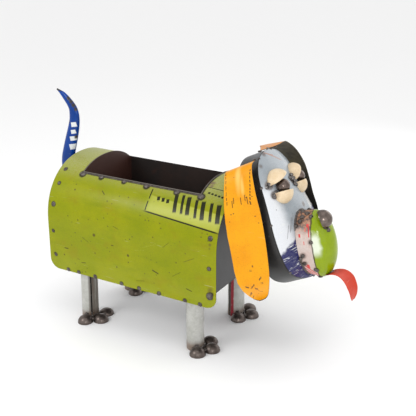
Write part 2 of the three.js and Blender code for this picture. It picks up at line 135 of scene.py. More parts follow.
class Curve:
    """Centripetal Catmull-Rom curve through points, as the CAD part's curves are."""

    def __init__(self, points: Sequence[Sequence[float]], closed: bool = False) -> None:
        """Keeps the points that the curve goes through, and whether it is a ring."""
        self.points = [Vector(p) for p in points]
        self.closed = closed

    def at(self, t: float) -> Vector:
        """Returns the point at a share t of the way, with t from 0 to 1.

        Args:
            t: The share.

        Returns:
            The point.
        """
        pts, n = self.points, len(self.points)
        along = (n if self.closed else n - 1) * t
        i = int(floor(along))
        if not self.closed:
            i = max(0, min(i, n - 2))
        w = along - i
        if self.closed:
            p0, p1, p2, p3 = (pts[(i + k) % n] for k in (-1, 0, 1, 2))
        else:
            p1, p2 = pts[i], pts[i + 1]
            p0 = pts[i - 1] if i > 0 else p1 * 2 - p2
            p3 = pts[i + 2] if i + 2 < n else p2 * 2 - p1
        d0, d1, d2 = ((b - a).length ** 0.5 or 1.0 for a, b in ((p0, p1), (p1, p2), (p2, p3)))
        m1 = ((p1 - p0) / d0 - (p2 - p0) / (d0 + d1) + (p2 - p1) / d1) * d1
        m2 = ((p2 - p1) / d1 - (p3 - p1) / (d1 + d2) + (p3 - p2) / d2) * d1
        return p1 + m1 * w + (p2 * 3 - p1 * 3 - m1 * 2 - m2) * w**2 + (p1 * 2 - p2 * 2 + m1 + m2) * w**3

    def spaced(self, count: int, fine: int = 2000) -> list[Vector]:
        """Returns count points at equal distances along the curve, without the end of a ring twice.

        Args:
            count: How many points.
            fine: Steps used to measure the curve.

        Returns:
            The points.
        """
        walk = [self.at(k / fine) for k in range(fine + 1)]
        run = [0.0]
        for a, b in zip(walk, walk[1:]):
            run.append(run[-1] + (b - a).length)
        parts = count if self.closed else count - 1
        out, k = [], 0
        for i in range(count):
            want = run[-1] * i / parts
            while k < fine - 1 and run[k + 1] < want:
                k += 1
            share = (want - run[k]) / max(run[k + 1] - run[k], 1e-9)
            out.append(walk[k].lerp(walk[k + 1], share))
        return out


# Mesh shapes. Each adds to a bmesh whose points are millimetres in the body's frame.


def loft(bm: Mesh, rings: Sequence[Sequence[Vector]],
         caps: bool = True) -> list[bmesh.types.BMVert]:
    """Skins closed rings with equal counts: a circle is extruded from each ring to the next.

    Args:
        bm: The mesh it is added to.
        rings: The rings, in order.
        caps: Whether the two ends are closed.

    Returns:
        The new points.
    """
    verts = bmesh.ops.create_circle(bm, segments=len(rings[0]), radius=1.0)["verts"]
    for v, p in zip(verts, rings[0]):
        v.co = p
    edges = list({e for v in verts for e in v.link_edges})
    first, made = edges, list(verts)
    for ring in rings[1:]:
        grown = bmesh.ops.extrude_edge_only(bm, edges=edges)["geom"]
        new = {g for g in grown if isinstance(g, bmesh.types.BMVert)}
        verts = [next(e.other_vert(v) for e in v.link_edges if e.other_vert(v) in new) for v in verts]
        for v, p in zip(verts, ring):
            v.co = p
        edges = [g for g in grown if isinstance(g, bmesh.types.BMEdge) and all(v in new for v in g.verts)]
        made += verts
    if caps:
        for rim in (first, edges):
            bmesh.ops.contextual_create(bm, geom=rim)
    return made


def bent_sheet(bm: Mesh, across: int, along: int, shape: Bend, marks: Bend) -> list[bmesh.types.BMVert]:
    """Bends a grid into a sheet.

    Args:
        bm: The mesh it is added to.
        across: Faces across it.
        along: Faces along it.
        shape: Gives the place of the sheet at shares u across and v along.
        marks: Gives the place attribute at u and v.

    Returns:
        The new points.
    """
    layer = bm.verts.layers.float_vector.get(PLACE) or bm.verts.layers.float_vector.new(PLACE)
    verts = bmesh.ops.create_grid(bm, x_segments=across, y_segments=along, size=0.5)["verts"]
    for v in verts:
        u, w = v.co.x + 0.5, v.co.y + 0.5
        v[layer] = marks(u, w)
        v.co = shape(u, w)
    return verts


def turned_to(normal: Vector) -> Matrix:
    """Returns the rotation that takes +Z to a direction."""
    return normal.to_track_quat("Z", "Y").to_matrix().to_4x4()


def weld_blob(bm: Mesh, centre: Vector, normal: Vector, radius: float, height: float,
              stretch: float = 1.0, seed: int = 0) -> None:
    """Adds one lump of weld metal: a low, uneven dome with a dimple in its crown.

    Args:
        bm: The mesh it is added to.
        centre: Its middle, on the surface.
        normal: The way it stands out.
        radius: Half its width.
        height: How far it stands out.
        stretch: Its length along x over its width.
        seed: Picks its unevenness.
    """
    verts = bmesh.ops.create_icosphere(bm, subdivisions=3, radius=1.0)["verts"]
    shift = Vector((seed * 1.37, seed * 0.71, seed * 2.13))
    for v in verts:
        rough = 1 + 0.22 * noise.noise(v.co * 1.3 + shift) + 0.08 * noise.noise(v.co * 4.0 + shift)
        dimple = 0.25 * exp(-(v.co.x**2 + v.co.y**2) / 0.12) if v.co.z > 0 else 0.0
        high = (v.co.z * rough - dimple) * height
        v.co = Vector((v.co.x * radius * rough * stretch, v.co.y * radius * rough, high))
    bmesh.ops.transform(bm, matrix=Matrix.Translation(centre) @ turned_to(normal), verts=verts)


def weld_bead(bm: Mesh, path: Sequence[Vector], normals: Sequence[Vector], radius: float,
              seed: int = 0, closed: bool = False, flat: float = 0.7) -> None:
    """Adds a run of weld: a low ridge with the ripples of a hand weld.

    Args:
        bm: The mesh it is added to.
        path: Points along it, a step of about a millimetre apart.
        normals: The way it stands out at each point.
        radius: Half its width.
        seed: Picks its unevenness.
        closed: Whether it runs back to its start.
        flat: Its height over its width.
    """
    sides, rings, run = 8, [], 0.0
    for k, (p, n) in enumerate(zip(path, normals)):
        before = path[k - 1] if k else (path[-1] if closed else path[0])
        after = path[(k + 1) % len(path)] if k + 1 < len(path) or closed else path[k]
        ahead = (after - before).normalized()
        aside = ahead.cross(n).normalized()
        run += (p - before).length
        swell = 1 + 0.16 * sin(run * 1.9) + 0.3 * noise.noise(Vector((run * 0.16, seed, 0)))
        ends = min(1.0, 0.35 + 0.25 * min(k, len(path) - 1 - k)) if not closed else 1.0
        r = radius * swell * ends
        turn = [2 * pi * i / sides for i in range(sides)]
        rings.append([p + aside * (cos(a) * r) + n * (sin(a) * r * flat) for a in turn])
    if closed:
        verts = loft(bm, rings + [rings[0]], caps=False)
        bmesh.ops.remove_doubles(bm, verts=verts, dist=WELDED / 10)
    else:
        loft(bm, rings)


def cut_away(bm: Mesh, point: Sequence[float], normal: Sequence[float],
             closed: bool = False) -> None:
    """Cuts off what lies behind a plane.

    Args:
        bm: The mesh that is cut.
        point: A point of the plane.
        normal: The side of the plane that is kept.
        closed: Whether the cut is closed with a face.
    """
    everything = bm.verts[:] + bm.edges[:] + bm.faces[:]
    cut = bmesh.ops.bisect_plane(bm, geom=everything, plane_co=point, plane_no=normal, clear_inner=True)
    if closed:
        rim = [g for g in cut["geom_cut"] if isinstance(g, bmesh.types.BMEdge)]
        bmesh.ops.contextual_create(bm, geom=rim)


def ring_weld(bm: Mesh, centre: Vector, across: Vector, over: Vector, lean: Vector,
              radius: float, seed: int, count: int = 70) -> None:
    """Runs a weld round the end of a tube.

    Args:
        bm: The mesh it is added to.
        centre: The middle of the tube's end.
        across: From there to the ring's first point.
        over: From there to the point a quarter of the way round.
        lean: How the weld's outward direction leans along the tube.
        radius: Half its width.
        seed: Picks its unevenness.
        count: Points round the ring.
    """
    turns = [2 * pi * k / count for k in range(count)]
    path = [centre + across * cos(a) + over * sin(a) for a in turns]
    side, top = across.normalized(), over.normalized()
    out = [(side * cos(a) + top * sin(a) + lean).normalized() for a in turns]
    weld_bead(bm, path, out, radius, seed=seed, closed=True)


def face_outwards(bm: Mesh, inside: Vector) -> None:
    """Turns an open shell's faces away from a point on its inner side.

    Args:
        bm: The shell.
        inside: A point on its inner side.
    """
    bm.normal_update()
    total = sum(f.normal.dot(f.calc_center_median() - inside) * f.calc_area() for f in bm.faces)
    if total < 0:
        bmesh.ops.reverse_faces(bm, faces=bm.faces)


def push_out_of_tube(verts: Sequence[bmesh.types.BMVert], x: float, y: float, radius: float) -> None:
    """Moves points that lie inside an upright tube out to its surface.

    Args:
        verts: The points.
        x: The tube's middle.
        y: The tube's middle.
        radius: How far out they are moved.
    """
    for v in verts:
        off = Vector((v.co.x - x, v.co.y - y))
        if off.length < radius:
            off = off.normalized() * radius
            v.co.x, v.co.y = x + off.x, y + off.y


@dataclass(frozen=True)
class Build:
    """How a piece's mesh is finished."""

    sheet: float = 0.0  # thickness that Solidify gives an open shell
    middle: bool = False  # the shell is the middle of the sheet and not its outer side
    lined: bool = False  # the inner side has the second material
    even: bool = True  # the thickness is kept at sharp bends
    edge: float = 0.0  # radius that Bevel gives its edges
    crease: float = 38.0  # degrees from which an edge is drawn sharp


LINED = Build(sheet=SHEET, lined=True, edge=0.3)


def place_piece(bm: Mesh, name: str, looks: Sequence[Look],
                replaces: Sequence[str] = (), build: Build = Build()) -> bpy.types.Object:
    """Makes a piece from its mesh, in the row frame, and ties it to the CAD part.

    Args:
        bm: Its mesh, in millimetres in the body's frame. It is used up.
        name: The piece's name.
        looks: Its materials; the first is the outer one.
        replaces: CAD nodes that it stands for.
        build: How its mesh is finished.

    Returns:
        The piece's object.
    """
    bmesh.ops.transform(bm, matrix=Matrix.Translation(MIDDLE) @ Matrix.Scale(MM, 4), verts=bm.verts)
    if not build.sheet:
        bmesh.ops.recalc_face_normals(bm, faces=bm.faces)
    for f in bm.faces:
        f.smooth = True
    for e in bm.edges:
        e.smooth = not (e.is_manifold and e.calc_face_angle(0.0) > radians(build.crease))
    mesh = bpy.data.meshes.new(name)
    bm.to_mesh(mesh)
    bm.free()
    piece = bpy.data.objects.new(name, mesh)
    bpy.context.scene.collection.objects.link(piece)
    for look in looks:
        mesh.materials.append(look)
    if build.sheet:
        solid = piece.modifiers.new("thickness", "SOLIDIFY")
        solid.thickness = build.sheet * MM
        solid.offset = 0.0 if build.middle else -1.0
        solid.use_even_offset = build.even
        solid.material_offset = solid.material_offset_rim = 1 if build.lined else 0
    if build.edge:
        bevel = piece.modifiers.new("edges", "BEVEL")
        bevel.width, bevel.segments = build.edge * MM, 2
        bevel.limit_method, bevel.angle_limit = "ANGLE", radians(50)
        bevel.harden_normals = True
    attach(piece, "root")
    if replaces:
        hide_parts(*replaces)
    LOG.info("%s: %d faces before its modifiers", name, len(mesh.polygons))
    return piece


# Finishes


def srgb(red: int, green: int, blue: int) -> Colour:
    """Returns a colour given as it is seen on screen, from 0 to 255, in linear light.

    Args:
        red: Its red.
        green: Its green.
        blue: Its blue.

    Returns:
        The colour, with full alpha.
    """
    def linear(c: float) -> float:
        """Returns one channel in linear light."""
        return c / 12.92 if c <= 0.04045 else ((c + 0.055) / 1.055) ** 2.4
    return (*(linear(c / 255) for c in (red, green, blue)), 1.0)


DARK_STEEL = srgb(62, 54, 50)
SOOT = srgb(38, 32, 30)


@dataclass(frozen=True)
class Bar:
    """A plain printed bar or a straight scratch on a sheet, in the millimetres of its place attribute."""

    across: float
    along: float
    half_across: float
    half_along: float
    turn: float = 0.0  # in degrees

    @staticmethod
    def rows(*rows: Sequence[float]) -> list["Bar"]:
        """Returns bars from rows of their numbers."""
        return [Bar(*row) for row in rows]


@dataclass(frozen=True)
class Spot:
    """A round mark, in the millimetres of a place attribute or of the body's frame."""

    at: Triple
    inner: float
    outer: float

    @staticmethod
    def rows(*rows: Sequence[float]) -> list["Spot"]:
        """Returns marks from rows of three numbers for the place, then the inner and the outer radius."""
        return [Spot(tuple(row[:3]), *row[3:]) for row in rows]


class Graph:
    """The nodes of one material, with short methods that add and link them."""

    def __init__(self, name: str) -> None:
        """Starts a material with its shader.

        Args:
            name: The material's name.
        """
        self.material = bpy.data.materials.new(name)
        self.material.use_nodes = True
        self.tree = self.material.node_tree
        self.shader = next(n for n in self.tree.nodes if n.type == "BSDF_PRINCIPLED")

    def put(self, socket: Socket, value: Union[Amount, Paintable, Vector]) -> None:
        """Links a socket to another, or sets its value.

        Args:
            socket: The input.
            value: A socket or a value.
        """
        if isinstance(value, bpy.types.NodeSocket):
            self.tree.links.new(value, socket)
        else:
            socket.default_value = value

    def add(self, kind: str, inputs: dict, **settings: object) -> bpy.types.Node:
        """Adds a node.

        Args:
            kind: Its type, without the leading ShaderNode.
            inputs: Values or sockets for its inputs, by place or name.
            settings: Its own settings.

        Returns:
            The node.
        """
        node = self.tree.nodes.new("ShaderNode" + kind)
        for key, value in settings.items():
            setattr(node, key, value)
        for key, value in inputs.items():
            self.put(node.inputs[key], value)
        return node

    def math(self, how: str, a: Amount, b: Amount = 0.0) -> Socket:
        """Returns a sum, product or the like of two numbers."""
        return self.add("Math", {0: a, 1: b}, operation=how).outputs[0]

    def times(self, a: Amount, b: Amount) -> Socket:
        """Returns the product of two numbers."""
        return self.math("MULTIPLY", a, b)

    def gap(self, a: Amount, b: Amount) -> Socket:
        """Returns how far apart two numbers are."""
        return self.math("ABSOLUTE", self.math("SUBTRACT", a, b))

    def ramp(self, value: Amount, ends: Sequence[float], levels: Sequence[float]) -> Socket:
        """Returns a smooth change from one level to another while a value passes between two ends."""
        inputs = dict(enumerate((value, *ends, *levels)))
        return self.add("MapRange", inputs, interpolation_type="SMOOTHSTEP").outputs[0]

    def step(self, value: Amount, low: float, high: float) -> Socket:
        """Returns 0 up to low, 1 from high, and a smooth rise between."""
        return self.ramp(value, (low, high), (0.0, 1.0))

    def fade(self, value: Amount, low: float, high: float) -> Socket:
        """Returns 1 up to low, 0 from high, and a smooth fall between."""
        return self.ramp(value, (low, high), (1.0, 0.0))

    def mix(self, amount: Amount, a: Paintable, b: Paintable) -> Socket:
        """Returns colour a with an amount of colour b over it."""
        return self.add("Mix", {0: amount, 6: a, 7: b}, data_type="RGBA").outputs[2]

    def object_place(self) -> Socket:
        """Returns the place on the object, in metres in the row frame."""
        return self.add("TexCoord", {}).outputs["Object"]

    def sheet_place(self) -> Socket:
        """Returns the place attribute, in millimetres."""
        return self.add("Attribute", {}, attribute_name=PLACE).outputs["Vector"]

    def parts(self, vector: Socket) -> tuple[Socket, Socket, Socket]:
        """Returns a vector's three numbers."""
        out = self.add("SeparateXYZ", {0: vector}).outputs
        return out[0], out[1], out[2]

    def grain(self, where: Socket, scale: Sequence[float], detail: float = 3.0, rough: float = 0.55,
              turn: Sequence[float] = (0, 0, 0)) -> Socket:
        """Returns noise from 0 to 1.

        Args:
            where: The place it is read at.
            scale: Waves per unit along each axis.
            detail: Octaves.
            rough: How strong the finer octaves are.
            turn: Turn of its axes, in degrees.

        Returns:
            The noise.
        """
        turned = self.add("Mapping", {0: where, 2: [radians(a) for a in turn], 3: scale})
        inputs = {"Vector": turned.outputs[0], "Scale": 1.0, "Detail": detail, "Roughness": rough}
        return self.add("TexNoise", inputs).outputs[0]

    def near(self, where: Socket, spot: Spot) -> Socket:
        """Returns 1 inside a spot, fading to 0 at its outer radius."""
        gap = self.add("VectorMath", {0: where, 1: spot.at}, operation="DISTANCE").outputs["Value"]
        return self.fade(gap, spot.inner, spot.outer)

    def bar(self, where: Socket, bar: Bar, soft: float = 0.12) -> Socket:
        """Returns 1 on a bar and 0 off it.

        Args:
            where: The place attribute, pulled about a little where the bar's edges are worn.
            bar: The bar.
            soft: How soft its edge is, over half its size.

        Returns:
            The mask.
        """
        inputs = {0: where, 1: (bar.across, bar.along, 0.0), 2: (0, 0, radians(bar.turn)),
                  3: (bar.half_across, bar.half_along, 1e4)}
        own = self.add("Mapping", inputs, vector_type="TEXTURE").outputs[0]
        size = self.add("VectorMath", {0: own}, operation="ABSOLUTE").outputs[0]
        x, y, _ = self.parts(size)
        return self.fade(self.math("MAXIMUM", x, y), 1.0 - soft, 1.0 + soft)

    def most(self, masks: Sequence[Socket]) -> Socket:
        """Returns the largest of some masks.

        Args:
            masks: The masks.

        Returns:
            The mask.
        """
        out = masks[0]
        for mask in masks[1:]:
            out = self.math("MAXIMUM", out, mask)
        return out

    def jog(self, where: Socket, scale: float, reach: float) -> Socket:
        """Returns a place pulled about by noise, so that what is drawn there has ragged edges.

        Args:
            where: The place.
            scale: Waves per unit.
            reach: How far it is pulled.

        Returns:
            The pulled place.
        """
        rough = self.add("TexNoise", {"Vector": where, "Scale": scale, "Detail": 3.0}).outputs["Color"]
        level = self.add("VectorMath", {0: rough, 1: (0.5, 0.5, 0.5)}, operation="SUBTRACT").outputs[0]
        pull = self.add("VectorMath", {0: level, "Scale": 2 * reach}, operation="SCALE").outputs[0]
        return self.add("VectorMath", {0: where, 1: pull}, operation="ADD").outputs[0]


@dataclass(frozen=True)
class Finish:
    """Worn paint or bare metal on sheet steel."""

    name: str
    colour: Colour
    second: Colour  # what the colour drifts to in cloudy patches
    roughness: float = 0.4
    metallic: float = 0.0
    coat: float = 0.0  # clear gloss over it
    blur: float = 0.25  # roughness of the gloss
    sheen: float = 0.5  # specular level of the paint itself
    patches: float = 22.0  # cloudy patches per metre
    drift: float = 0.6  # how strongly they show
    specks: float = 0.0  # share of dark pin marks
    scuffs: float = 0.0  # strength of fine bright scratches
    relief: float = 0.25  # strength of the fine bump
    bare: Colour = DARK_STEEL

    def start(self) -> "Coat":
        """Returns the finish as a coat that marks can still go over."""
        return Coat(self)

    def make(self) -> Look:
        """Returns the finish as a material, with no marks but its own wear."""
        return self.start().done()


class Coat:
    """A finish being painted: each mark goes over what is already there."""

    FINE = 420.0  # waves per metre of the fine grain

    def __init__(self, finish: Finish) -> None:
        """Lays the finish's colour with its cloudy patches, scuffs and specks.

        Args:
            finish: The finish.
        """
        self.finish = finish
        self.g = g = Graph(finish.name)
        self.where = g.object_place()
        cloud = g.grain(self.where, (finish.patches,) * 3, 5.0, 0.62)
        self.colour = g.mix(g.times(g.step(cloud, 0.35, 0.68), finish.drift), finish.colour, finish.second)
        self.fine = g.grain(self.where, (self.FINE,) * 3, 4.0, 0.6)
        shade = g.times(g.step(self.fine, 0.42, 0.75), 0.16)
        self.colour = g.mix(shade, self.colour, finish.bare)
        self.metal: Optional[Socket] = None  # where the paint is off
        if finish.scuffs:
            self._scuff()
        if finish.specks:
            self._speck()

    def _scuff(self) -> None:
        """Lays fine bright scratches in two directions."""
        g = self.g
        for turn, seed in ((24, 0.0), (-38, 3.7)):
            moved = g.add("VectorMath", {0: self.where, 1: (seed, seed, seed)}, operation="ADD").outputs[0]
            lines = g.grain(moved, (14, 14, 520), 3.0, 0.6, (turn, turn * 0.6, 0))
            some = g.step(g.grain(moved, (26, 26, 26), 2.0), 0.5, 0.62)
            mask = g.times(g.times(g.step(lines, 0.67, 0.74), some), self.finish.scuffs)
            self.colour = g.mix(mask, self.colour, srgb(225, 225, 205))

    def _speck(self) -> None:
        """Lays dark pin marks."""
        g = self.g
        dots = g.add("TexVoronoi", {"Vector": self.where, "Scale": 85.0, "Randomness": 1.0})
        share = self.finish.specks
        some = g.step(g.grain(self.where, (31, 31, 31), 2.0), 1.0 - share, 1.04 - share)
        mask = g.times(g.fade(dots.outputs["Distance"], 0.08, 0.16), some)
        self.mark(mask, self.finish.bare, 0.8)

    def mark(self, mask: Amount, colour: Paintable, strength: float = 1.0) -> None:
        """Puts a colour over what is there.

        Args:
            mask: Where it goes, from 0 to 1.
            colour: The colour.
            strength: How dense it is where the mask is 1.
        """
        if strength < 1.0:
            mask = self.g.times(mask, strength)
        self.colour = self.g.mix(mask, self.colour, colour)

    def bare_metal(self, mask: Socket, colour: Optional[Paintable] = None) -> None:
        """Takes the paint off down to the steel."""
        self.mark(mask, self.finish.bare if colour is None else colour)
        self.metal = mask if self.metal is None else self.g.math("MAXIMUM", self.metal, mask)

    def bars(self, bars: Sequence[Bar], colour: Colour, worn: float = 0.35, strength: float = 0.92) -> None:
        """Prints plain bars at the sheet's own place.

        Args:
            bars: The bars.
            colour: Their colour.
            worn: Share of the print that is rubbed away.
            strength: How dense the rest is.
        """
        g = self.g
        place = g.sheet_place()
        ragged = g.jog(place, 0.6, 0.35)
        mask = g.most([g.bar(ragged, bar) for bar in bars])
        rub = g.grain(place, (0.35, 0.35, 0.35), 4.0, 0.7)
        kept = g.step(rub, worn - 0.06, worn + 0.08)
        self.mark(g.times(mask, kept), colour, strength)

    def stains(self, spots: Sequence[Spot], colour: Colour, strength: float = 0.85, own: bool = True) -> None:
        """Lays round stains with ragged edges.

        Args:
            spots: Their places.
            colour: Their colour.
            strength: How dense they are.
            own: Whether the places are the sheet's own, and not the body's frame.
        """
        g = self.g
        place = g.sheet_place() if own else self.body_place()
        ragged = g.jog(place, 0.45, 0.9)
        mask = g.most([g.near(ragged, spot) for spot in spots])
        self.mark(mask, colour, strength)

    def body_place(self) -> Socket:
        """Returns the place in the body's frame, in millimetres.

        Returns:
            The place.
        """
        g = self.g
        inputs = {0: self.where, 1: tuple(MIDDLE), 3: (MM, MM, MM)}
        return g.add("Mapping", inputs, vector_type="TEXTURE").outputs[0]

    def done(self) -> Look:
        """Sets the shader and returns the material.

        Returns:
            The material.
        """
        g, f = self.g, self.finish
        s = g.shader.inputs
        g.put(s["Base Color"], self.colour)
        spread = g.times(g.math("SUBTRACT", self.fine, 0.5), 0.22)
        rough = g.math("ADD", spread, f.roughness)
        s["Specular IOR Level"].default_value = f.sheen
        if f.metallic:
            s["Metallic"].default_value = f.metallic
        if f.coat:
            s["Coat Weight"].default_value = f.coat
            s["Coat Roughness"].default_value = f.blur
        wave = g.grain(self.where, (70, 70, 70), 2.0)
        height = g.math("ADD", g.times(self.fine, 0.5), g.times(wave, 1.2))
        if self.metal is not None:
            rough = g.math("ADD", rough, g.times(self.metal, 0.12))
            height = g.math("SUBTRACT", height, g.times(self.metal, 1.5))
        g.put(s["Roughness"], rough)
        bump = g.add("Bump", {"Strength": f.relief, "Distance": 0.0003, "Height": height})
        g.put(s["Normal"], bump.outputs[0])
        return g.material


WELD = Finish("weld_metal", srgb(74, 66, 62), srgb(118, 112, 108), roughness=0.36, metallic=0.75,
              patches=160.0, drift=0.8, relief=0.6, bare=srgb(48, 36, 30))
DARK_DOME = Finish("dark_dome_steel", srgb(106, 96, 91), srgb(66, 58, 54), roughness=0.36, metallic=0.8,
                   patches=70.0, drift=0.7, scuffs=0.12, relief=0.35, bare=srgb(60, 40, 30))
DARK_PLATE = Finish("dark_plate", srgb(63, 63, 64), srgb(51, 50, 51), roughness=0.38, metallic=0.35,
                    patches=16.0, scuffs=0.12, specks=0.25, relief=0.2)
PRIMER = Finish("inside_primer", srgb(44, 42, 40), srgb(62, 52, 44), roughness=0.6, patches=30.0,
                specks=0.3)
POLISHED = Finish("polished_dome_steel", srgb(120, 108, 101), srgb(72, 62, 58), roughness=0.22,
                  metallic=0.9, patches=60.0, drift=0.7, scuffs=0.1, relief=0.12, bare=srgb(60, 40, 30))
EYE_STEEL = Finish("eyeball_steel", srgb(118, 104, 97), srgb(74, 63, 58), roughness=0.27, metallic=0.9,
                   patches=60.0, relief=0.1, bare=srgb(60, 40, 30))
BEAD = Finish("bright_weld_metal", srgb(122, 118, 116), srgb(80, 74, 71), roughness=0.24, metallic=0.85,
              patches=120.0, drift=0.8, relief=0.4, bare=srgb(58, 46, 40))


# Body


@dataclass(frozen=True)
class Arch:
    """The section of the body: straight sides with a rounded arch over them."""

    half_width: float = 132.0
    bottom: float = 120.2  # height of the sides' lower edges
    spring: float = 232.7  # height at which the arch starts
    rise: float = 127.6  # of the arch
    power: float = 2.2  # of the arch's curve: 2 would be an ellipse

    @property
    def side(self) -> float:
        """Height of the straight sides."""
        return self.spring - self.bottom

    def point(self, angle: float) -> tuple[float, float]:
        """Returns y and z of the arch at an angle, from 0 on the right to pi on the left.

        Args:
            angle: The angle.

        Returns:
            The two numbers.
        """
        e = 2 / self.power
        c, s = cos(angle), max(sin(angle), 0.0)
        return -self.half_width * copysign(abs(c) ** e, c), self.spring + self.rise * s**e

    def angle_of(self, y: float) -> float:
        """Returns the angle at which the arch passes y."""
        c = copysign(abs(y / self.half_width) ** (self.power / 2), -y)
        return acos(c)

    def normal(self, angle: float) -> Vector:
        """Returns the outward normal at an angle."""
        a, b = self.point(max(angle - 0.01, 0)), self.point(min(angle + 0.01, pi))
        return Vector((0.0, -(b[1] - a[1]), b[0] - a[0])).normalized()

    def lengths(self, angles: Sequence[float]) -> list[float]:
        """Returns the distance along the section, from its lower right edge, at rising angles.

        Args:
            angles: The angles.

        Returns:
            A distance for each angle.
        """
        fine, out, run, done = 0.004, [], self.side, 0.0
        here = Vector(self.point(0.0))
        for angle in angles:
            while done < angle - 1e-9:
                done = min(done + fine, angle)
                there = Vector(self.point(done))
                run += (there - here).length
                here = there
            out.append(run)
        return out


@dataclass
class Body:
    """The barrel: its sheet, end plates, bottom tray, planting tray and their welds."""

    arch: Arch = Arch()
    half_length: float = 213.4
    corner: float = 24.0  # radius of the sheet's lower corners
    opening_x: float = 149.0  # half the opening's length
    opening_y: tuple[float, float] = (-81.0, 93.0)
    dent: float = 0.35  # depth of its shallow dents
    arch_steps: int = 88
    side_steps: int = 10
    # plug welds along the lower edge: x
    bottom_plugs: tuple[float, ...] = (-164.0, -135.0, -89.8, -19.4, 25.9, 76.5, 140.0, 176.0)
    plug_level: float = 124.0  # height of those plug welds
    plug_radius: tuple[float, float] = (3.9, 4.9)
    plug_height: float = 1.9  # how far a plug weld stands out
    large_plug: float = 6.0  # radius from which one stands out further
    large_plug_height: float = 2.8
    left_shift: float = 6.0  # how far the left side's lower plugs may be off the right side's
    # plug welds along the side's end edges: x, distance from the lower edge, radius
    end_plugs: Table = (
        (-200.5, 89.0, 3.6), (-197.6, 33.0, 4.0), (-198.7, 151.4, 5.2), (-196.4, 199.5, 3.8),
        (-198.0, 235.7, 4.4), (197.4, 151.5, 4.9), (197.0, 87.7, 4.1), (199.0, 27.5, 8.0),
    )
    # tack welds on the near edge of the opening: x, radius along the edge
    near_tacks: Table = (
        (-147.5, 8.2), (-98.0, 6.0), (-38.5, 5.4), (19.0, 7.2), (93.5, 7.0), (151.0, 8.0),
    )
    far_tacks: Table = (
        (-146.0, 5.6), (-84.0, 4.8), (-12.0, 5.2), (61.0, 4.6), (146.0, 5.8),
    )

    def x_stations(self) -> list[float]:
        """Returns the sheet's lines across x, with the opening's ends and fine corners among them.

        Returns:
            The places along x, rising.
        """
        start = self.half_length - self.corner
        arc = [start + self.corner * sin(radians(a)) for a in range(0, 91, 9)]
        inner = [self.opening_x * (k / 14) for k in range(0, 15)] + [163.0, 176.0]
        right = inner + arc
        return [-x for x in reversed(right[1:])] + right

    def section(self) -> list[tuple[float, float, float, Vector]]:
        """Returns the lines along the sheet, from its lower right edge over the arch.

        Returns:
            Of each line y, z, distance along the sheet and outward normal. On the straight sides z runs
            from 0 at the lower edge to 1 at the arch, and is scaled later.
        """
        edges = sorted(self.arch.angle_of(y) for y in self.opening_y)
        angles = [pi * k / self.arch_steps for k in range(self.arch_steps + 1)]
        near = 0.45 * pi / self.arch_steps
        angles = sorted([a for a in angles if all(abs(a - e) > near for e in edges)] + edges)
        run = self.arch.lengths(angles)
        w, side = self.arch.half_width, self.arch.side
        shares = [k / self.side_steps for k in range(self.side_steps)]
        out = [(-w, s, s * side, Vector((0, -1, 0))) for s in shares]
        out += [(*self.arch.point(a), s, self.arch.normal(a)) for a, s in zip(angles, run)]
        out += [(w, s, run[-1] + (1 - s) * side, Vector((0, 1, 0))) for s in reversed(shares)]
        return out

    def lower_edge(self, x: float) -> float:
        """Returns the height of the sheet's lower edge, which is rounded up at its corners."""
        past = max(abs(x) - (self.half_length - self.corner), 0.0)
        return self.arch.bottom + self.corner - sqrt(max(self.corner**2 - past**2, 0.0))

    def point(self, x: float, distance: float) -> tuple[Vector, Vector]:
        """Returns the place and normal of the sheet's outer side at x and a distance along it.

        Args:
            x: The place along the body.
            distance: From the lower right edge, along the sheet.

        Returns:
            The place and the normal.
        """
        a = self.arch
        if distance <= a.side:
            return Vector((x, -a.half_width, a.bottom + distance)), Vector((0, -1, 0))
        fine = 720
        angles = [pi * k / fine for k in range(fine + 1)]
        for angle, run in zip(angles, a.lengths(angles)):
            if run >= distance:
                return Vector((x, *a.point(angle))), a.normal(angle)
        return Vector((x, a.half_width, a.spring)), Vector((0, 1, 0))

    def sheet(self) -> None:
        """Makes the green sheet: a grid bent over the arch, its opening cut, its corners rounded."""
        xs, lines = self.x_stations(), self.section()
        nu, nv = len(xs) - 1, len(lines) - 1
        bm = bmesh.new()

        def shape(u: float, v: float) -> Vector:
            """Returns the sheet's place at shares along x and along the section.

            Args:
                u: Share along x.
                v: Share along the section.

            Returns:
                The point.
            """
            x = xs[round(u * nu)]
            y, z, _, out = lines[round(v * nv)]
            if z <= 1.0:
                low = self.lower_edge(x)
                z = low + z * (self.arch.spring - low)
            spot = Vector((x, y, z))
            edge = min(1.0, (self.half_length - abs(x)) / 20.0)
            wave = noise.noise(spot * 0.013) + 0.5 * noise.noise(spot * 0.031 + Vector((7, 3, 1)))
            return spot + out * (min(wave, 0.0) * self.dent * 2 * edge)

        bent_sheet(bm, nu, nv, shape, lambda u, v: Vector((xs[round(u * nu)], lines[round(v * nv)][2], 0)))
        y0, y1 = self.opening_y
        cut = [f for f in bm.faces if self.over_opening(f.calc_center_median(), y0, y1)]
        bmesh.ops.delete(bm, geom=cut, context="FACES")
        face_outwards(bm, Vector((0, 0, 200)))
        place_piece(bm, "barrel_sheet", [self.green(), PRIMER.make()], ["body_sheet"], LINED)

    def over_opening(self, centre: Vector, y0: float, y1: float) -> bool:
        """Returns whether a face's middle lies over the opening."""
        return abs(centre.x) < self.opening_x and y0 < centre.y < y1 and centre.z > self.arch.spring

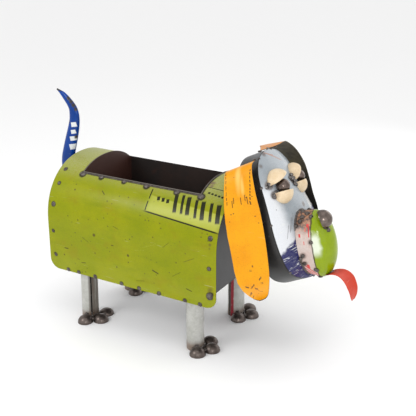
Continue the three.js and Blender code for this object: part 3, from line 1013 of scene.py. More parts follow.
    def green(self) -> Look:
        """Returns the sheet's yellow-green paint with its plain print, scratches and burns.

        Returns:
            The material.
        """
        coat = Finish(
            "yellow_green_paint", srgb(130, 138, 0), srgb(144, 147, 2), roughness=0.34, coat=0.14,
            sheen=0.1, patches=13.0, drift=0.75, specks=0.5, scuffs=0.3, relief=0.2,
            bare=srgb(66, 52, 34)).start()
        g = coat.g
        streak = g.grain(coat.where, (9, 9, 34), 4.0, 0.6, (0, 18, 0))
        coat.mark(g.step(streak, 0.52, 0.72), srgb(108, 122, 0), 0.38)
        brown = g.grain(coat.where, (21, 21, 27), 6.0, 0.7)
        coat.mark(g.step(brown, 0.5, 0.72), srgb(134, 122, 10), 0.5)
        _, _, height = g.parts(coat.body_place())
        # paler towards the top of the arch
        paler_top = g.times(g.step(height, 318.0, 356.0), g.step(coat.fine, 0.2, 0.7))
        coat.mark(paler_top, srgb(168, 168, 118), 0.75)
        low = g.times(g.fade(height, 122.0, 190.0), g.step(streak, 0.3, 0.6))
        coat.mark(low, srgb(146, 152, 44), 0.4)
        self.print_bars(coat)
        self.scratches(coat)
        self.burns(coat)
        return coat.done()

    def print_bars(self, coat: Coat) -> None:
        """Prints the plain frame, blocks and bars on the near side's shoulder, over a pale field that is
        partly painted highlight.

        Args:
            coat: The paint that they go on.
        """
        black, slope = srgb(14, 15, 10), -4.5
        # pale field of the print, partly a painted highlight along the shoulder
        print_field_and_highlight = Bar.rows((126, 190, 88, 17, slope))
        coat.bars(print_field_and_highlight, srgb(214, 218, 110), worn=0.2, strength=0.3)
        lines = Bar.rows(
            (37.3, 217, 1.3, 11.5, 2), (36.8, 190, 1.3, 10.5, -2), (124.3, 171.2, 88, 1.5, slope),
            (171, 259.5, 20, 0.9, slope))
        blocks = [Bar(59.2 + 11.6 * k, 210 - 1.1 * k, 3.4, 4.4, 14) for k in range(3)]
        small = [Bar(163 + 8.2 * k, 245.2 - 1.3 * k, 2.7, 2.3, -12) for k in range(5)]
        stripes = [Bar(x, s, w, h, 12) for x, s, w, h in (
            (101, 207, 4.2, 20), (117, 208, 3.0, 21), (131, 207, 4.6, 20), (150, 204, 3.2, 20),
            (166, 203, 4.6, 20), (185, 203, 3.4, 20), (202, 202, 5.0, 20))]
        coat.bars(lines + blocks + small, black, worn=0.22, strength=0.96)
        coat.bars(stripes, black, worn=0.3, strength=0.96)

    def scratches(self, coat: Coat) -> None:
        """Lays the single dark scratches and knocks that the near side has.

        Args:
            coat: The paint that they go on.
        """
        marks = Bar.rows(
            (-166, 55, 5.4, 1.2, 2), (68.5, 51.5, 8.0, 1.3, -20), (-112, 86, 9, 0.5, -28),
            (-76, 198, 6, 0.9, -40), (120, 58, 12, 0.4, 34), (150, 96, 14, 0.4, 28),
            (-30, 130, 8, 0.4, -18), (96, 118, 10, 0.4, 42), (30, 22, 11, 0.4, 12), (-120, 30, 6, 0.8, 8),
            (150, 30, 7, 0.9, -14), (-40, 88, 3, 0.9, 10))
        coat.bars(marks, srgb(60, 50, 22), worn=0.32)
        knocks = Spot.rows(
            (0.3, 73.7, 0, 1.6, 4.2), (0.6, 58, 0, 0.8, 2.4), (-87.6, 102, 0, 1.8, 5.0),
            (-87, 60, 0, 0.8, 2.4), (-173, 38, 0, 1.0, 2.8), (-149.7, 192.3, 0, 1.0, 2.8),
            (-146.5, 245, 0, 1.0, 3.4), (64, 128, 0, 0.8, 2.4), (-60, 182, 0, 0.8, 2.2),
            (120, 84, 0, 0.8, 2.4), (-130, 128, 0, 0.8, 2.6), (-30, 40, 0, 0.8, 2.4))
        coat.stains(knocks, srgb(72, 54, 26))
        rubs = Bar.rows((52, 106, 16, 0.9, 22), (30, 92, 12, 0.7, 12), (74, 114, 12, 0.8, -16))
        coat.bars(rubs, srgb(186, 192, 96), worn=0.5, strength=0.2)

    def burns(self, coat: Coat) -> None:
        """Burns the paint round the welds, and darkens a band along the opening's edge that is partly weld
        burn and partly painted shade under the tray's rim.

        Args:
            coat: The paint that is burnt.
        """
        low = [Spot((x, 3.6, 0), 4.0, 6.6) for x in self.bottom_plugs]
        ends = [Spot((x, s, 0), r * 0.9, r + 2.2) for x, s, r in self.end_plugs]
        run = self.arch.lengths(sorted(self.arch.angle_of(y) for y in self.opening_y))
        tacks = [Spot((x, run[0] - 3.0, 0), r * 0.9, r + 3.0) for x, r in self.near_tacks]
        tacks += [Spot((x, run[1] + 3.0, 0), r * 0.9, r + 3.0) for x, r in self.far_tacks]
        coat.stains(low + ends, SOOT, 0.9)
        coat.stains(tacks, SOOT, 0.92)
        coat.stains(Spot.rows((198, 139, 0, 1.5, 4.5), (197.5, 131, 0, 0.6, 3.4), (200, 40, 0, 2, 9)),
                    srgb(92, 78, 34), 0.6)
        g = coat.g
        # dark band along the opening's edge: weld burn with painted shade under the tray's proud rim
        x, s, _ = g.parts(g.jog(g.sheet_place(), 0.25, 0.9))
        middle, half = (run[0] + run[1]) / 2, (run[1] - run[0]) / 2
        past_x = g.math("SUBTRACT", g.math("ABSOLUTE", x), self.opening_x)
        past_s = g.math("SUBTRACT", g.gap(s, middle), half)
        coat.mark(g.fade(g.math("MAXIMUM", past_x, past_s), 1.2, 3.4), srgb(58, 54, 42), 0.9)
        front = Spot.rows((155.0, 276.0, 0, 2.0, 9.0), (158.0, 266.0, 0, 1.0, 7.0))
        coat.stains(front, srgb(110, 84, 74), 0.75)

    def rim(self) -> None:
        """Runs the weld between the opening's edge and the planting tray, with its tacks."""
        bm = bmesh.new()
        a, b = (self.arch.angle_of(y) for y in self.opening_y)
        angles = [a + (b - a) * k / 60 for k in range(61)]
        x = self.opening_x
        front = [(Vector((x, *self.arch.point(t))), self.arch.normal(t)) for t in angles]
        rear = [(Vector((-x, *self.arch.point(t))), self.arch.normal(t)) for t in reversed(angles)]
        loop = front + rear
        path, normals = [], []
        for (p, n), (q, _) in zip(loop, loop[1:] + loop[:1]):
            count = max(1, round((q - p).length / 2.4))
            path += [p.lerp(q, k / count) + n * 0.1 for k in range(count)]
            normals += [n] * count
        weld_bead(bm, path, normals, 1.0, seed=3, closed=True, flat=0.75)
        for k, (tx, r) in enumerate(self.near_tacks):
            self.tack(bm, tx, a, r, Side.RIGHT, k)
        for k, (tx, r) in enumerate(self.far_tacks):
            self.tack(bm, tx, b, r, Side.LEFT, k + 20)
        place_piece(bm, "opening_weld", [WELD.make()])

    def tack(self, bm: Mesh, x: float, angle: float, radius: float, side: Side,
             seed: int) -> None:
        """Adds one tack weld just outside the opening's edge.

        Args:
            bm: The mesh it is added to.
            x: Where along the edge.
            angle: The edge's angle on the arch.
            radius: Half its length.
            side: The side of the opening.
            seed: Picks its unevenness.
        """
        away = side.value * 2.6 / self.arch.half_width
        out = self.arch.normal(angle + away)
        centre = Vector((x, *self.arch.point(angle + away)))
        weld_blob(bm, centre, out, radius * 0.66, 2.3, stretch=1.35, seed=seed)
        weld_blob(bm, centre + Vector((radius * 0.3, 0, 0)), out, radius * 0.4, 3.1, seed=seed + 50)

    def plugs(self) -> None:
        """Puts the plug welds on both sides of the sheet, along its lower and end edges."""
        bm = bmesh.new()
        for side in Side:
            rng = random.Random(11 + side.value)
            shift = 0.0 if side is Side.RIGHT else self.left_shift
            for k, x in enumerate(self.bottom_plugs):
                x += shift * rng.uniform(-1, 1)
                spot = Vector((x, side.value * self.arch.half_width, self.plug_level))
                size = rng.uniform(*self.plug_radius), self.plug_height
                weld_blob(bm, spot, Vector((0, side.value, 0)), *size, seed=k + 5 * side.value)
            for k, (x, s, r) in enumerate(self.end_plugs):
                centre, out = self.point(x, s)
                centre.y *= -side.value
                out.y *= -side.value
                high = self.plug_height if r < self.large_plug else self.large_plug_height
                weld_blob(bm, centre, out, r, high, seed=k + 31 + 7 * side.value)
        place_piece(bm, "plug_welds", [WELD.make()])

    def dress_plates(self) -> None:
        """Gives the flat CAD plates and the planting tray their finishes."""
        plate = DARK_PLATE.make()
        for name in ("front_end_plate", "rear_end_plate", "bottom_tray"):
            dress_node(name, plate)
        dress_node("planter_liner", self.liner())

    def liner(self) -> Look:
        """Returns the planting tray's dull dark finish, brown at the rear and bright on its top edge.

        Returns:
            The material.
        """
        coat = Finish(
            "tray_steel", srgb(27, 22, 20), srgb(40, 27, 22), roughness=0.55, patches=16.0, drift=0.9,
            specks=0.3, relief=0.3, bare=srgb(60, 36, 26)).start()
        g = coat.g
        x, _, z = g.parts(coat.body_place())
        coat.mark(g.fade(x, -147.5, -140.0), srgb(66, 36, 27), 0.8)
        rust = g.grain(coat.where, (24, 24, 24), 4.0, 0.65)
        coat.mark(g.step(rust, 0.56, 0.74), srgb(66, 34, 22), 0.5)
        normal = g.add("NewGeometry", {}).outputs["Normal"]
        _, _, up = g.parts(normal)
        crest = g.times(g.step(up, 0.25, 0.6), g.step(z, 300.0, 312.0))
        coat.bare_metal(crest, srgb(98, 92, 84))
        return coat.done()

    def build(self) -> None:
        """Builds and dresses the whole body."""
        self.sheet()
        self.rim()
        self.plugs()
        self.dress_plates()


def dress_node(name: str, look: Look) -> None:
    """Gives a CAD node that stays in view its material.

    Args:
        name: The node.
        look: The material.
    """
    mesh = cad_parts[name].data
    mesh.materials.clear()
    mesh.materials.append(look)
    LOG.info("%s: kept from the CAD part", name)


# Legs and feet


@dataclass(frozen=True)
class Foot:
    """Where one leg stands and how its foot and tube are turned, in degrees."""

    end: str
    side: Side
    x: float
    y: float
    turn: float
    seam: float
    painted: bool = False  # a stripe of old red paint is left beside the seam
    lean: tuple[float, float] = (0.0, 0.0)  # how far forwards its lower and upper ends stand
    stained: bool = False  # the tube is stained dark beside the seam

    @property
    def name(self) -> str:
        """The foot as it stands in the names of nodes."""
        return f"{self.end}_{self.side.word}"

    def turned(self, forward: float, aside: float) -> tuple[float, float]:
        """Returns a place beside the leg, from the leg's middle, turned as the foot is."""
        c, s = cos(radians(self.turn)), sin(radians(self.turn))
        return forward * c - aside * s, forward * s + aside * c


@dataclass
class Legs:
    """Four legs of rolled tube, each with three domed toes."""

    radius: float = 19.0
    wall: float = 1.6
    slot: float = 3.0  # width of the open seam
    top: float = 143.6
    weld_reach: float = 19.6  # from the tube's middle to the welds round it
    seam_tacks: tuple[float, ...] = (88.0, 60.0)  # heights of the tacks across the seam
    rusty: tuple[float, float] = (8.0, 28.0)  # heights over which the rust at the foot ends
    dripping: tuple[float, float] = (20.0, 130.0)  # heights over which the drips end
    feet: tuple[Foot, ...] = (
        Foot("rear", Side.RIGHT, -139, -95.8, -20, -43, lean=(1.8, 4.2), stained=True),
        Foot("front", Side.RIGHT, 145, -98, 0, 100, lean=(-0.8, -1.8)),
        Foot("rear", Side.LEFT, -139, 72, 12, 80),
        Foot("front", Side.LEFT, 145.5, 81.5, 0, -112, painted=True),
    )
    # forward and sideways place from the leg, radius and height of each toe
    toes: Table = (
        (19, -24.5, 17.3, 16.2), (36.8, 5.7, 17.3, 16.2), (16, 33.8, 17, 13),
    )

    def tube(self, foot: Foot) -> None:
        """Makes one leg: a sheet rolled to a tube, with its seam left open.

        Args:
            foot: Its foot.
        """
        half = self.slot / 2 / self.radius
        start = radians(foot.seam) + half
        sweep = 2 * pi - 2 * half

        def shape(u: float, v: float) -> Vector:
            """Returns the tube's place at shares round it and up it.

            Args:
                u: Share round it.
                v: Share up it.

            Returns:
                The point.
            """
            a = start + sweep * u
            r = self.radius + 0.12 * (noise.noise(Vector((cos(a) * 2, sin(a) * 2, v * 5))) - 1)
            x = foot.x + foot.lean[0] * (1 - v) + foot.lean[1] * v
            return Vector((x + r * cos(a), foot.y + r * sin(a), self.top * v))

        bm = bmesh.new()
        bent_sheet(bm, 72, 30, shape, lambda u, v: Vector(((u - 0.5) * 360.0, self.top * v, 0)))
        face_outwards(bm, Vector((foot.x, foot.y, self.top / 2)))
        looks = [self.galvanised(foot), PRIMER.make()]
        build = Build(sheet=self.wall, lined=True, edge=0.25)
        place_piece(bm, f"tube_{foot.name}", looks, [f"leg_{foot.name}"], build)

    def galvanised(self, foot: Foot) -> Look:
        """Returns a leg's galvanised finish, with dark drips by its seam and rust at its foot.

        Args:
            foot: The leg's foot.

        Returns:
            The material.
        """
        coat = Finish(
            f"galvanised_{foot.name}", srgb(187, 187, 182), srgb(163, 163, 156), roughness=0.42,
            metallic=0.3, patches=34.0, drift=0.7, scuffs=0.2, specks=0.2, relief=0.3,
            bare=srgb(112, 104, 96)).start()
        g = coat.g
        cells = g.add("TexVoronoi", {"Vector": coat.where, "Scale": 210.0}).outputs["Color"]
        flake, _, _ = g.parts(cells)
        coat.mark(g.step(flake, 0.55, 0.9), srgb(198, 198, 194), 0.28)
        around, up, _ = g.parts(g.jog(g.sheet_place(), 0.12, 1.8))
        seam = g.step(g.math("ABSOLUTE", around), 160.0, 174.0)
        coat.mark(seam, srgb(72, 62, 54), 0.75)
        coat.mark(g.fade(up, *self.rusty), srgb(112, 84, 62), 0.75)
        drip = g.grain(g.sheet_place(), (0.11, 0.012, 0.0), 3.0, 0.6)
        run = g.times(g.step(drip, 0.62, 0.74), g.fade(up, *self.dripping))
        coat.mark(run, srgb(142, 116, 86), 0.7)
        if foot.stained:
            beside = g.times(g.fade(around, -128.0, -104.0), g.step(drip, 0.3, 0.52))
            coat.mark(beside, srgb(84, 70, 58), 0.8)
        if foot.painted:
            stripe = g.bar(g.sheet_place(), Bar(-163, self.top / 2, 12, self.top, 0))
            worn = g.step(g.grain(g.sheet_place(), (0.14, 0.06, 0.0), 4.0, 0.7), 0.3, 0.4)
            coat.mark(g.times(stripe, worn), srgb(150, 40, 52))
        return coat.done()

    def toe(self, foot: Foot, index: int) -> None:
        """Makes one toe: a pressed dome, flat below, fitted round the tube.

        Args:
            foot: Its foot.
            index: Its number on the foot, from 0.
        """
        forward, aside, r, h = self.toes[index]
        off = foot.turned(forward, aside)
        x, y = foot.x + off[0], foot.y + off[1]
        bm = bmesh.new()
        bmesh.ops.create_uvsphere(bm, u_segments=48, v_segments=32, radius=1.0)
        cut_away(bm, (0, 0, 0), (0, 0, 1), closed=True)
        place = Matrix.Translation((x, y, 0)) @ Matrix.Diagonal((r, r, h, 1))
        bmesh.ops.transform(bm, matrix=place, verts=bm.verts)
        push_out_of_tube(bm.verts, foot.x, foot.y, self.radius + GAP)
        name = f"{foot.name}_{index + 1}"
        place_piece(bm, f"dome_{name}", [self.steel], [f"toe_{name}"], Build(crease=50))

    def welds(self, foot: Foot) -> None:
        """Welds the toes to the tube and to each other, and the tube to the bottom tray.

        Args:
            foot: The foot.
        """
        bm = bmesh.new()
        spots = [(*foot.turned(x, y), r, h) for x, y, r, h in self.toes]
        for k, (x, y, r, h) in enumerate(spots):
            a = atan2(y, x)
            reach = [a + radians(d) for d in range(-34, 35, 4)]
            path = [Vector((foot.x + self.weld_reach * cos(t), foot.y + self.weld_reach * sin(t),
                            h * 0.62 - 7 * abs(sin(t - a)) + 1.5)) for t in reach]
            out = [Vector((cos(t), sin(t), 0.8)).normalized() for t in reach]
            weld_bead(bm, path, out, 2.3, seed=k + 3)
        for k, (a, b) in enumerate(zip(spots, spots[1:])):
            middle = Vector((foot.x + (a[0] + b[0]) / 2, foot.y + (a[1] + b[1]) / 2, 6.0))
            weld_blob(bm, middle, Vector((0, 0, 1)), 4.6, 4.2, seed=k + 9)
        inner = Vector((foot.x + spots[0][0] * 0.72, foot.y + spots[0][1] * 0.72, 13.0))
        weld_blob(bm, inner, Vector((0.3, -0.5, 0.8)), 5.4, 4.6, seed=int(foot.x))
        head = Vector((foot.x, foot.y, self.top - 0.9))
        across, over = Vector((self.weld_reach, 0, 0)), Vector((0, self.weld_reach, 0))
        ring_weld(bm, head, across, over, Vector((0, 0, -0.6)), 1.9, seed=5)
        seam = radians(foot.seam)
        side = Vector((cos(seam), sin(seam), 0))
        for k, z in enumerate(self.seam_tacks):
            spot = Vector((foot.x, foot.y, z)) + side * (self.radius - 0.4)
            weld_blob(bm, spot, side, 2.4, 1.7, seed=k + 40)
        place_piece(bm, f"foot_weld_{foot.name}", [self.weld])

    def build(self) -> None:
        """Builds the four legs with their feet."""
        self.steel, self.weld = DARK_DOME.make(), WELD.make()
        for foot in self.feet:
            self.tube(foot)
            for index in range(len(self.toes)):
                self.toe(foot, index)
            self.welds(foot)


# Tail


@dataclass
class Tail:
    """A flattened horn that curves up from the rear plate."""

    flat: float = 0.6  # its thickness over its width
    plate: float = -199.8  # x of its weld on the rear plate
    stretches: int = 96  # faces along it
    sides: int = 36  # faces round it
    flat_foot: float = 0.03  # share of its length over which it turns square to the plate
    # centre line in the middle plane: x, z and half the width seen from the side
    rows: Table = (
        (-199.2, 262, 15.5), (-212, 268, 16), (-233, 281, 16.4), (-249, 297, 16.8), (-257, 315, 17),
        (-256.6, 334, 16.8), (-252.4, 351.4, 16.4), (-247.3, 368.9, 16), (-242.7, 383.8, 15.7),
        (-238.1, 398.6, 15.1), (-234.2, 413.2, 14.3), (-231.4, 427.5, 13.4), (-231.3, 441.4, 12.6),
        (-233.7, 452.7, 11.2), (-239.3, 462.4, 9.6), (-248.5, 472.8, 8.2), (-260.6, 484, 6.2),
        (-268.9, 489.3, 3.8), (-277.2, 494.1, 1.8),
    )

    def shape(self) -> None:
        """Makes the horn by skinning flattened rings along its centre line."""
        line = Curve(self.rows)
        count, sides = self.stretches, self.sides
        rings = []
        for k in range(count + 1):
            t = k / count
            x, z, r = line.at(t)
            ahead = line.at(min(t + 0.01, 1)) - line.at(max(t - 0.01, 0))
            run = Vector((ahead.x, ahead.y)).normalized()
            if t < self.flat_foot:
                run = run.lerp(Vector((-1, 0)), 1 - t / self.flat_foot).normalized()
            ring = []
            for i in range(sides):
                a = 2 * pi * i / sides
                off = sin(a) * r
                ring.append(Vector((x + run.y * off, cos(a) * r * self.flat, z - run.x * off)))
            rings.append(ring)
        bm = bmesh.new()
        layer = bm.verts.layers.float_vector.new(PLACE)
        verts = loft(bm, rings)
        for n, v in enumerate(verts):
            around = degrees(2 * pi * (n % sides) / sides)
            v[layer] = Vector((around, (n // sides) / count * 100, 0))
        place_piece(bm, "tail_horn", [self.paint()], ["tail"], Build(crease=60))

    def paint(self) -> Look:
        """Returns the glossy blue paint, chipped, with plain white bars up its near side.

        Returns:
            The material.
        """
        coat = Finish(
            "glossy_blue_paint", srgb(2, 60, 142), srgb(2, 44, 110), roughness=0.22, coat=0.25, blur=0.14,
            sheen=0.1, patches=30.0, specks=0.3, scuffs=0.25, relief=0.15, bare=srgb(56, 52, 52)).start()
        g = coat.g
        place = coat.body_place()
        x, y, z = g.parts(place)
        turned = g.add("CombineXYZ", {0: x, 1: z, 2: 0.0}).outputs[0]
        ragged = g.jog(turned, 0.4, 0.5)
        marks = [Bar(-228.0 - 0.12 * (425 - h), h, wide, tall, 10) for h, wide, tall in (
            (419, 6.6, 5.2), (402, 5.6, 4.4), (386, 7.4, 5.0), (366, 7.8, 6.4))]
        near = g.fade(y, -2.0, 0.0)
        bars = g.most([g.bar(ragged, m) for m in marks])
        coat.mark(g.times(bars, near), srgb(222, 224, 222), 0.92)
        chips = Spot.rows(
            (-243.0, -3.0, 477.0, 3.0, 6.5), (-236.0, -4.0, 470.5, 3.0, 7.0),
            (-229.0, -4.0, 463.0, 3.2, 7.5), (-224.0, -3.0, 454.0, 2.2, 6.0),
            (-225.0, -5.0, 389.0, 2.6, 7.0), (-243.5, -5.0, 424.0, 1.6, 4.5),
            (-246.0, -6.0, 352.0, 0.8, 3.0), (-255.0, -8.0, 306.0, 1.0, 4.0))
        far = Spot.rows((-232.0, 7.0, 440.0, 1.5, 6.0), (-250.0, 8.0, 344.0, 1.2, 5.0))
        worn = g.jog(place, 0.35, 2.2)
        coat.bare_metal(g.most([g.near(worn, spot) for spot in chips + far]))
        coat.bare_metal(g.step(z, 489.0, 492.5), srgb(50, 48, 48))
        coat.mark(g.step(x, -206.0, -202.0), SOOT, 0.8)
        return coat.done()

    def foot_weld(self) -> None:
        """Welds the horn's foot to the rear plate."""
        bm = bmesh.new()
        _, z, r = self.rows[0]
        across, over = Vector((0, r * self.flat, 0)), Vector((0, 0, r))
        ring_weld(bm, Vector((self.plate, 0, z)), across, over, Vector((-0.8, 0, 0)), 2.0, seed=8, count=60)
        place_piece(bm, "tail_weld", [WELD.make()])

    def build(self) -> None:
        """Builds the tail."""
        self.shape()
        self.foot_weld()


# Head


@dataclass
class Head:
    """The drum of the head: a dished face in a black band, a back plate and the neck."""

    plane: Plane = field(default_factory=lambda: Plane.facing((287.2, -1.8, 359.8), -3, 26.4))
    depth: float = 47.0  # of the band
    crown: float = 20.0  # how far the face stands out in its middle
    dish: float = 2.5  # power by which it falls away towards the outline
    centre: Vector = field(default_factory=lambda: Vector((0, -58, 0)))
    steps: int = 138  # points round the outline
    # sizes of the rings that the face is made of, over the outline's
    ring_shares: tuple[float, ...] = (
        1.0, 0.985, 0.96, 0.92, 0.86, 0.79, 0.71, 0.62, 0.53, 0.44, 0.35, 0.26, 0.17, 0.08,
    )
    half_outline: Table = (
        (0, 77), (14, 76), (26, 72.5), (37, 67), (46, 59), (53.5, 50), (60, 39), (64.5, 26), (67.5, 12),
        (70, -4), (73.5, -22), (77.5, -40), (82, -58), (86, -76), (88.7, -94), (90, -112), (89.5, -130),
        (87.5, -144), (83.5, -155), (77, -164), (68, -171.5), (55, -179), (38, -186), (19, -191), (0, -193),
    )
    # tacks round the face's rim, as shares of the way round
    rim_tacks: tuple[float, ...] = (0.02, 0.13, 0.24, 0.38, 0.5, 0.62, 0.76, 0.865, 0.955)
    neck: Triple = (290.0, 2.0, 19.0)  # z, y and radius
    neck_wall: float = 1.6
    front_plate: tuple[float, float] = (197.0, 1.6)  # x of the front plate's inner side, its thickness
    neck_weld: float = 199.4  # x of the weld between them
    chin: tuple[float, float] = (196.0, 226.0)  # heights over which the painted light on the band's underside ends
    crest: tuple[float, float] = (408.0, 432.0)  # heights over which the painted sheen on its top starts

    def __post_init__(self) -> None:
        """Works out the face's outline."""
        left = [(u, v, 0) for u, v in self.half_outline]
        right = [(-u, v, 0) for u, v in reversed(self.half_outline[1:-1])]
        self.ring = Curve(left + right, closed=True).spaced(self.steps)

    def inset(self, by: float) -> list[Vector]:
        """Returns the outline moved inwards by a distance.

        Args:
            by: The distance.

        Returns:
            Its points.
        """
        out = []
        for k, p in enumerate(self.ring):
            run = (self.ring[(k + 1) % self.steps] - self.ring[k - 1]).normalized()
            out.append(p + Vector((run.y, -run.x, 0)) * by)
        return out

    def height(self, u: float, v: float) -> float:
        """Returns how far the dished face stands out at u and v.

        Args:
            u: To the left.
            v: Up the face.

        Returns:
            The height over the head's plane.
        """
        off = Vector((u, v, 0)) - self.centre
        if off.length < TINY:
            return self.crown

        def miss(p: Vector) -> float:
            """Returns how far a point of the outline is from the direction of u and v."""
            edge = p - self.centre
            return -edge.dot(off) / edge.length

        nearest = min(self.ring, key=miss)
        share = min(off.length / (nearest - self.centre).length, 1.0)
        return self.crown * (1 - share**self.dish)

    def face(self) -> None:
        """Makes the dished face from rings that run in from its outline."""
        rings, marks = [], []
        for share in self.ring_shares:
            h = self.crown * (1 - share**self.dish)
            places = [self.centre + (p - self.centre) * share for p in self.ring]
            for p in places:
                p.z = h + 0.5 * share * noise.noise(Vector((p.x * 0.03, p.y * 0.03, 4.0))) * (1 - share)
            marks += places
            rings.append([self.plane.at(p.x, p.y, p.z) for p in places])
        bm = bmesh.new()
        layer = bm.verts.layers.float_vector.new(PLACE)
        verts = loft(bm, rings, caps=False)
        for v, p in zip(verts, marks):
            v[layer] = p
        hub = [e for e in bm.edges if e.is_boundary and (e.verts[0].co - verts[-1].co).length < 40]
        hole = bmesh.ops.contextual_create(bm, geom=hub)["faces"]
        bmesh.ops.poke(bm, faces=hole)
        for v in bm.verts:
            if v[layer].length < TINY:
                v[layer] = self.centre
        face_outwards(bm, self.plane.at(0, -58, -40))
        looks = [self.face_paint(), PRIMER.make()]
        build = Build(sheet=SHEET, lined=True, edge=0.35)
        place_piece(bm, "dished_face", looks, ["face_plate"], build)

    def face_paint(self) -> Look:
        """Returns the face's pale grey-blue paint, whitened down its near side and low on its far side by
        painted highlights, navy low down.

        Returns:
            The material.
        """
        coat = Finish(
            "grey_blue_paint", srgb(144, 153, 160), srgb(163, 170, 176), roughness=0.28, coat=0.25,
            patches=20.0, drift=0.8, specks=0.26, scuffs=0.35, relief=0.2, bare=srgb(80, 66, 58)).start()
        g = coat.g
        place = g.sheet_place()
        u, v, _ = g.parts(g.jog(place, 0.05, 9.0))
        # painted highlight: white down the near side, where the dish turns towards the light
        worn = g.times(g.fade(u, -62.0, -34.0), g.fade(v, 0.0, 26.0))
        coat.mark(worn, srgb(229, 231, 235), 0.85)
        # painted highlight: paler low on the far side, where the dish turns to another facet
        far = g.times(g.step(u, 44.0, 60.0), g.fade(v, -20.0, 0.0))
        coat.mark(far, srgb(226, 222, 214), 0.6)
        low = g.fade(g.math("ADD", v, g.times(u, -0.35)), -92.0, -84.0)
        flecks = g.grain(place, (0.04, 0.17, 0.0), 3.0, 0.6, (0, 0, -38))
        navy = g.times(low, g.fade(flecks, 0.62, 0.66))
        coat.mark(navy, srgb(26, 28, 88))
        streaks = g.grain(place, (0.03, 0.55, 0.0), 3.0, 0.6, (0, 0, -48))
        band = g.times(g.fade(v, -70.0, -40.0), g.fade(u, 0.0, 20.0))
        rub = g.times(g.times(g.step(streaks, 0.6, 0.66), band), 0.75)
        coat.mark(rub, srgb(228, 230, 226))
        coat.bars(Bar.rows((-43, -74, 0.8, 16, -36), (-36, -70, 0.5, 18, -38), (-57, -84, 0.6, 14, -34)),
                  srgb(92, 92, 96), worn=0.4, strength=0.8)
        coat.bars(Bar.rows((4, 61, 24, 1.3, -36), (-4, 68, 12, 1.0, -28)), srgb(158, 104, 78),
                  worn=0.22, strength=0.85)
        burnt = Spot.rows(
            (-46, 54, 6, 3.0, 8.0), (-18, 72, 2, 2.0, 8.0), (-52, 13, 9, 7.0, 12.0),
            (-50, -9, 9, 6.0, 11.0), (23, 4, 17, 8.0, 13.0), (24, -52, 19, 3.0, 8.0))
        coat.stains(burnt, srgb(88, 70, 58), 0.75)
        coat.stains(Spot.rows(
            (-54, -62, 9, 0.6, 2.0), (-68, -78, 5, 0.6, 2.2), (-60, -36, 9, 0.5, 1.6),
            (-74, -104, 3, 1.0, 3.6)), srgb(70, 62, 60), 0.8)
        return coat.done()

    def band(self) -> None:
        """Makes the black band round the head as one ring of sheet."""
        front, back = -SHEET - GAP, -self.depth
        outer, inner = self.ring, self.inset(SHEET)
        depths = [front + (back - front) * k / 6 for k in range(7)]
        loops = [(outer, h) for h in depths] + [(inner, h) for h in reversed(depths)] + [(outer, depths[0])]
        rings = [[self.plane.at(p.x, p.y, h) for p in ring] for ring, h in loops]
        bm = bmesh.new()
        verts = loft(bm, rings, caps=False)
        bmesh.ops.remove_doubles(bm, verts=verts, dist=WELDED)
        build = Build(edge=0.3, crease=50)
        place_piece(bm, "black_band", [self.black()], ["head_band"], build)

    def black(self) -> Look:
        """Returns the band's satin black, greyed by painted light under the chin and by a painted sheen over
        the crown.

        Returns:
            The material.
        """
        coat = Finish(
            "satin_black_paint", srgb(24, 23, 23), srgb(36, 34, 33), roughness=0.42, coat=0.1, patches=26.0,
            specks=0.3, scuffs=0.18, bare=srgb(86, 74, 62)).start()
        g = coat.g
        _, _, z = g.parts(g.jog(coat.body_place(), 0.03, 8.0))
        # painted light: grey on the lit underside
        coat.mark(g.fade(z, *self.chin), srgb(62, 64, 64), 0.8)
        # painted sheen: grey over the top
        coat.mark(g.step(z, *self.crest), srgb(100, 102, 106), 0.85)
        return coat.done()

    def back(self) -> None:
        """Makes the back plate and the neck."""
        behind = -self.depth - GAP
        bm = bmesh.new()
        loft(bm, [[self.plane.at(p.x, p.y, h) for p in self.ring] for h in (behind, behind - SHEET)])
        plate = DARK_PLATE.make()
        build = Build(edge=0.3, crease=50)
        place_piece(bm, "back_of_head", [plate], ["head_back_plate"], build)
        z, y, r = self.neck
        start = sum(self.front_plate) + GAP
        bm = bmesh.new()

        def shape(u: float, v: float) -> Vector:
            """Returns the neck's place at shares round it and along it.

            Args:
                u: Share round it.
                v: Share along it.

            Returns:
                The point.
            """
            a = 2 * pi * u
            spot = Vector((0, y + r * cos(a), z + r * sin(a)))
            off = self.plane.origin + self.plane.out * (behind - SHEET - GAP) - spot
            end = off.dot(self.plane.out) / self.plane.out.x
            spot.x = start + (end - start) * v
            return spot

        verts = bent_sheet(bm, 64, 4, shape, lambda u, v: Vector((u * 360, v * 100, 0)))
        bmesh.ops.remove_doubles(bm, verts=verts, dist=WELDED)
        face_outwards(bm, Vector((215, y, z)))
        place_piece(bm, "neck_tube", [plate], ["neck"], Build(sheet=self.neck_wall, edge=0.25))

    def welds(self) -> None:
        """Tacks the face into the band and welds the neck to the front plate."""
        bm = bmesh.new()
        rng = random.Random(5)
        for share in self.rim_tacks:
            k = round(share * self.steps + rng.uniform(-1, 1)) % self.steps
            p, q = self.ring[k], self.ring[(k + 1) % self.steps]
            out = Vector((q.y - p.y, p.x - q.x, 0)).normalized() * -1
            normal = (self.plane.left * out.x + self.plane.up * out.y + self.plane.out * 0.8).normalized()
            weld_blob(bm, self.plane.at(p.x, p.y, -0.8), normal, rng.uniform(2.4, 3.6), 1.6, seed=k)
        z, y, r = self.neck
        centre = Vector((self.neck_weld, y, z))
        ring_weld(bm, centre, Vector((0, r, 0)), Vector((0, 0, r)), Vector((0.8, 0, 0)), 2.2, seed=4)
        place_piece(bm, "head_welds", [WELD.make()])

    def build(self) -> None:
        """Builds the head without its features."""
        self.face()
        self.band()
        self.back()
        self.welds()


@dataclass(frozen=True)
class EarRow:
    """One row of an ear: its front edge in the head's plane, its width, rise and sideways shift."""

    u: float
    v: float
    h: float
    width: float
    rise: float = 0.0
    shift: float = 0.0


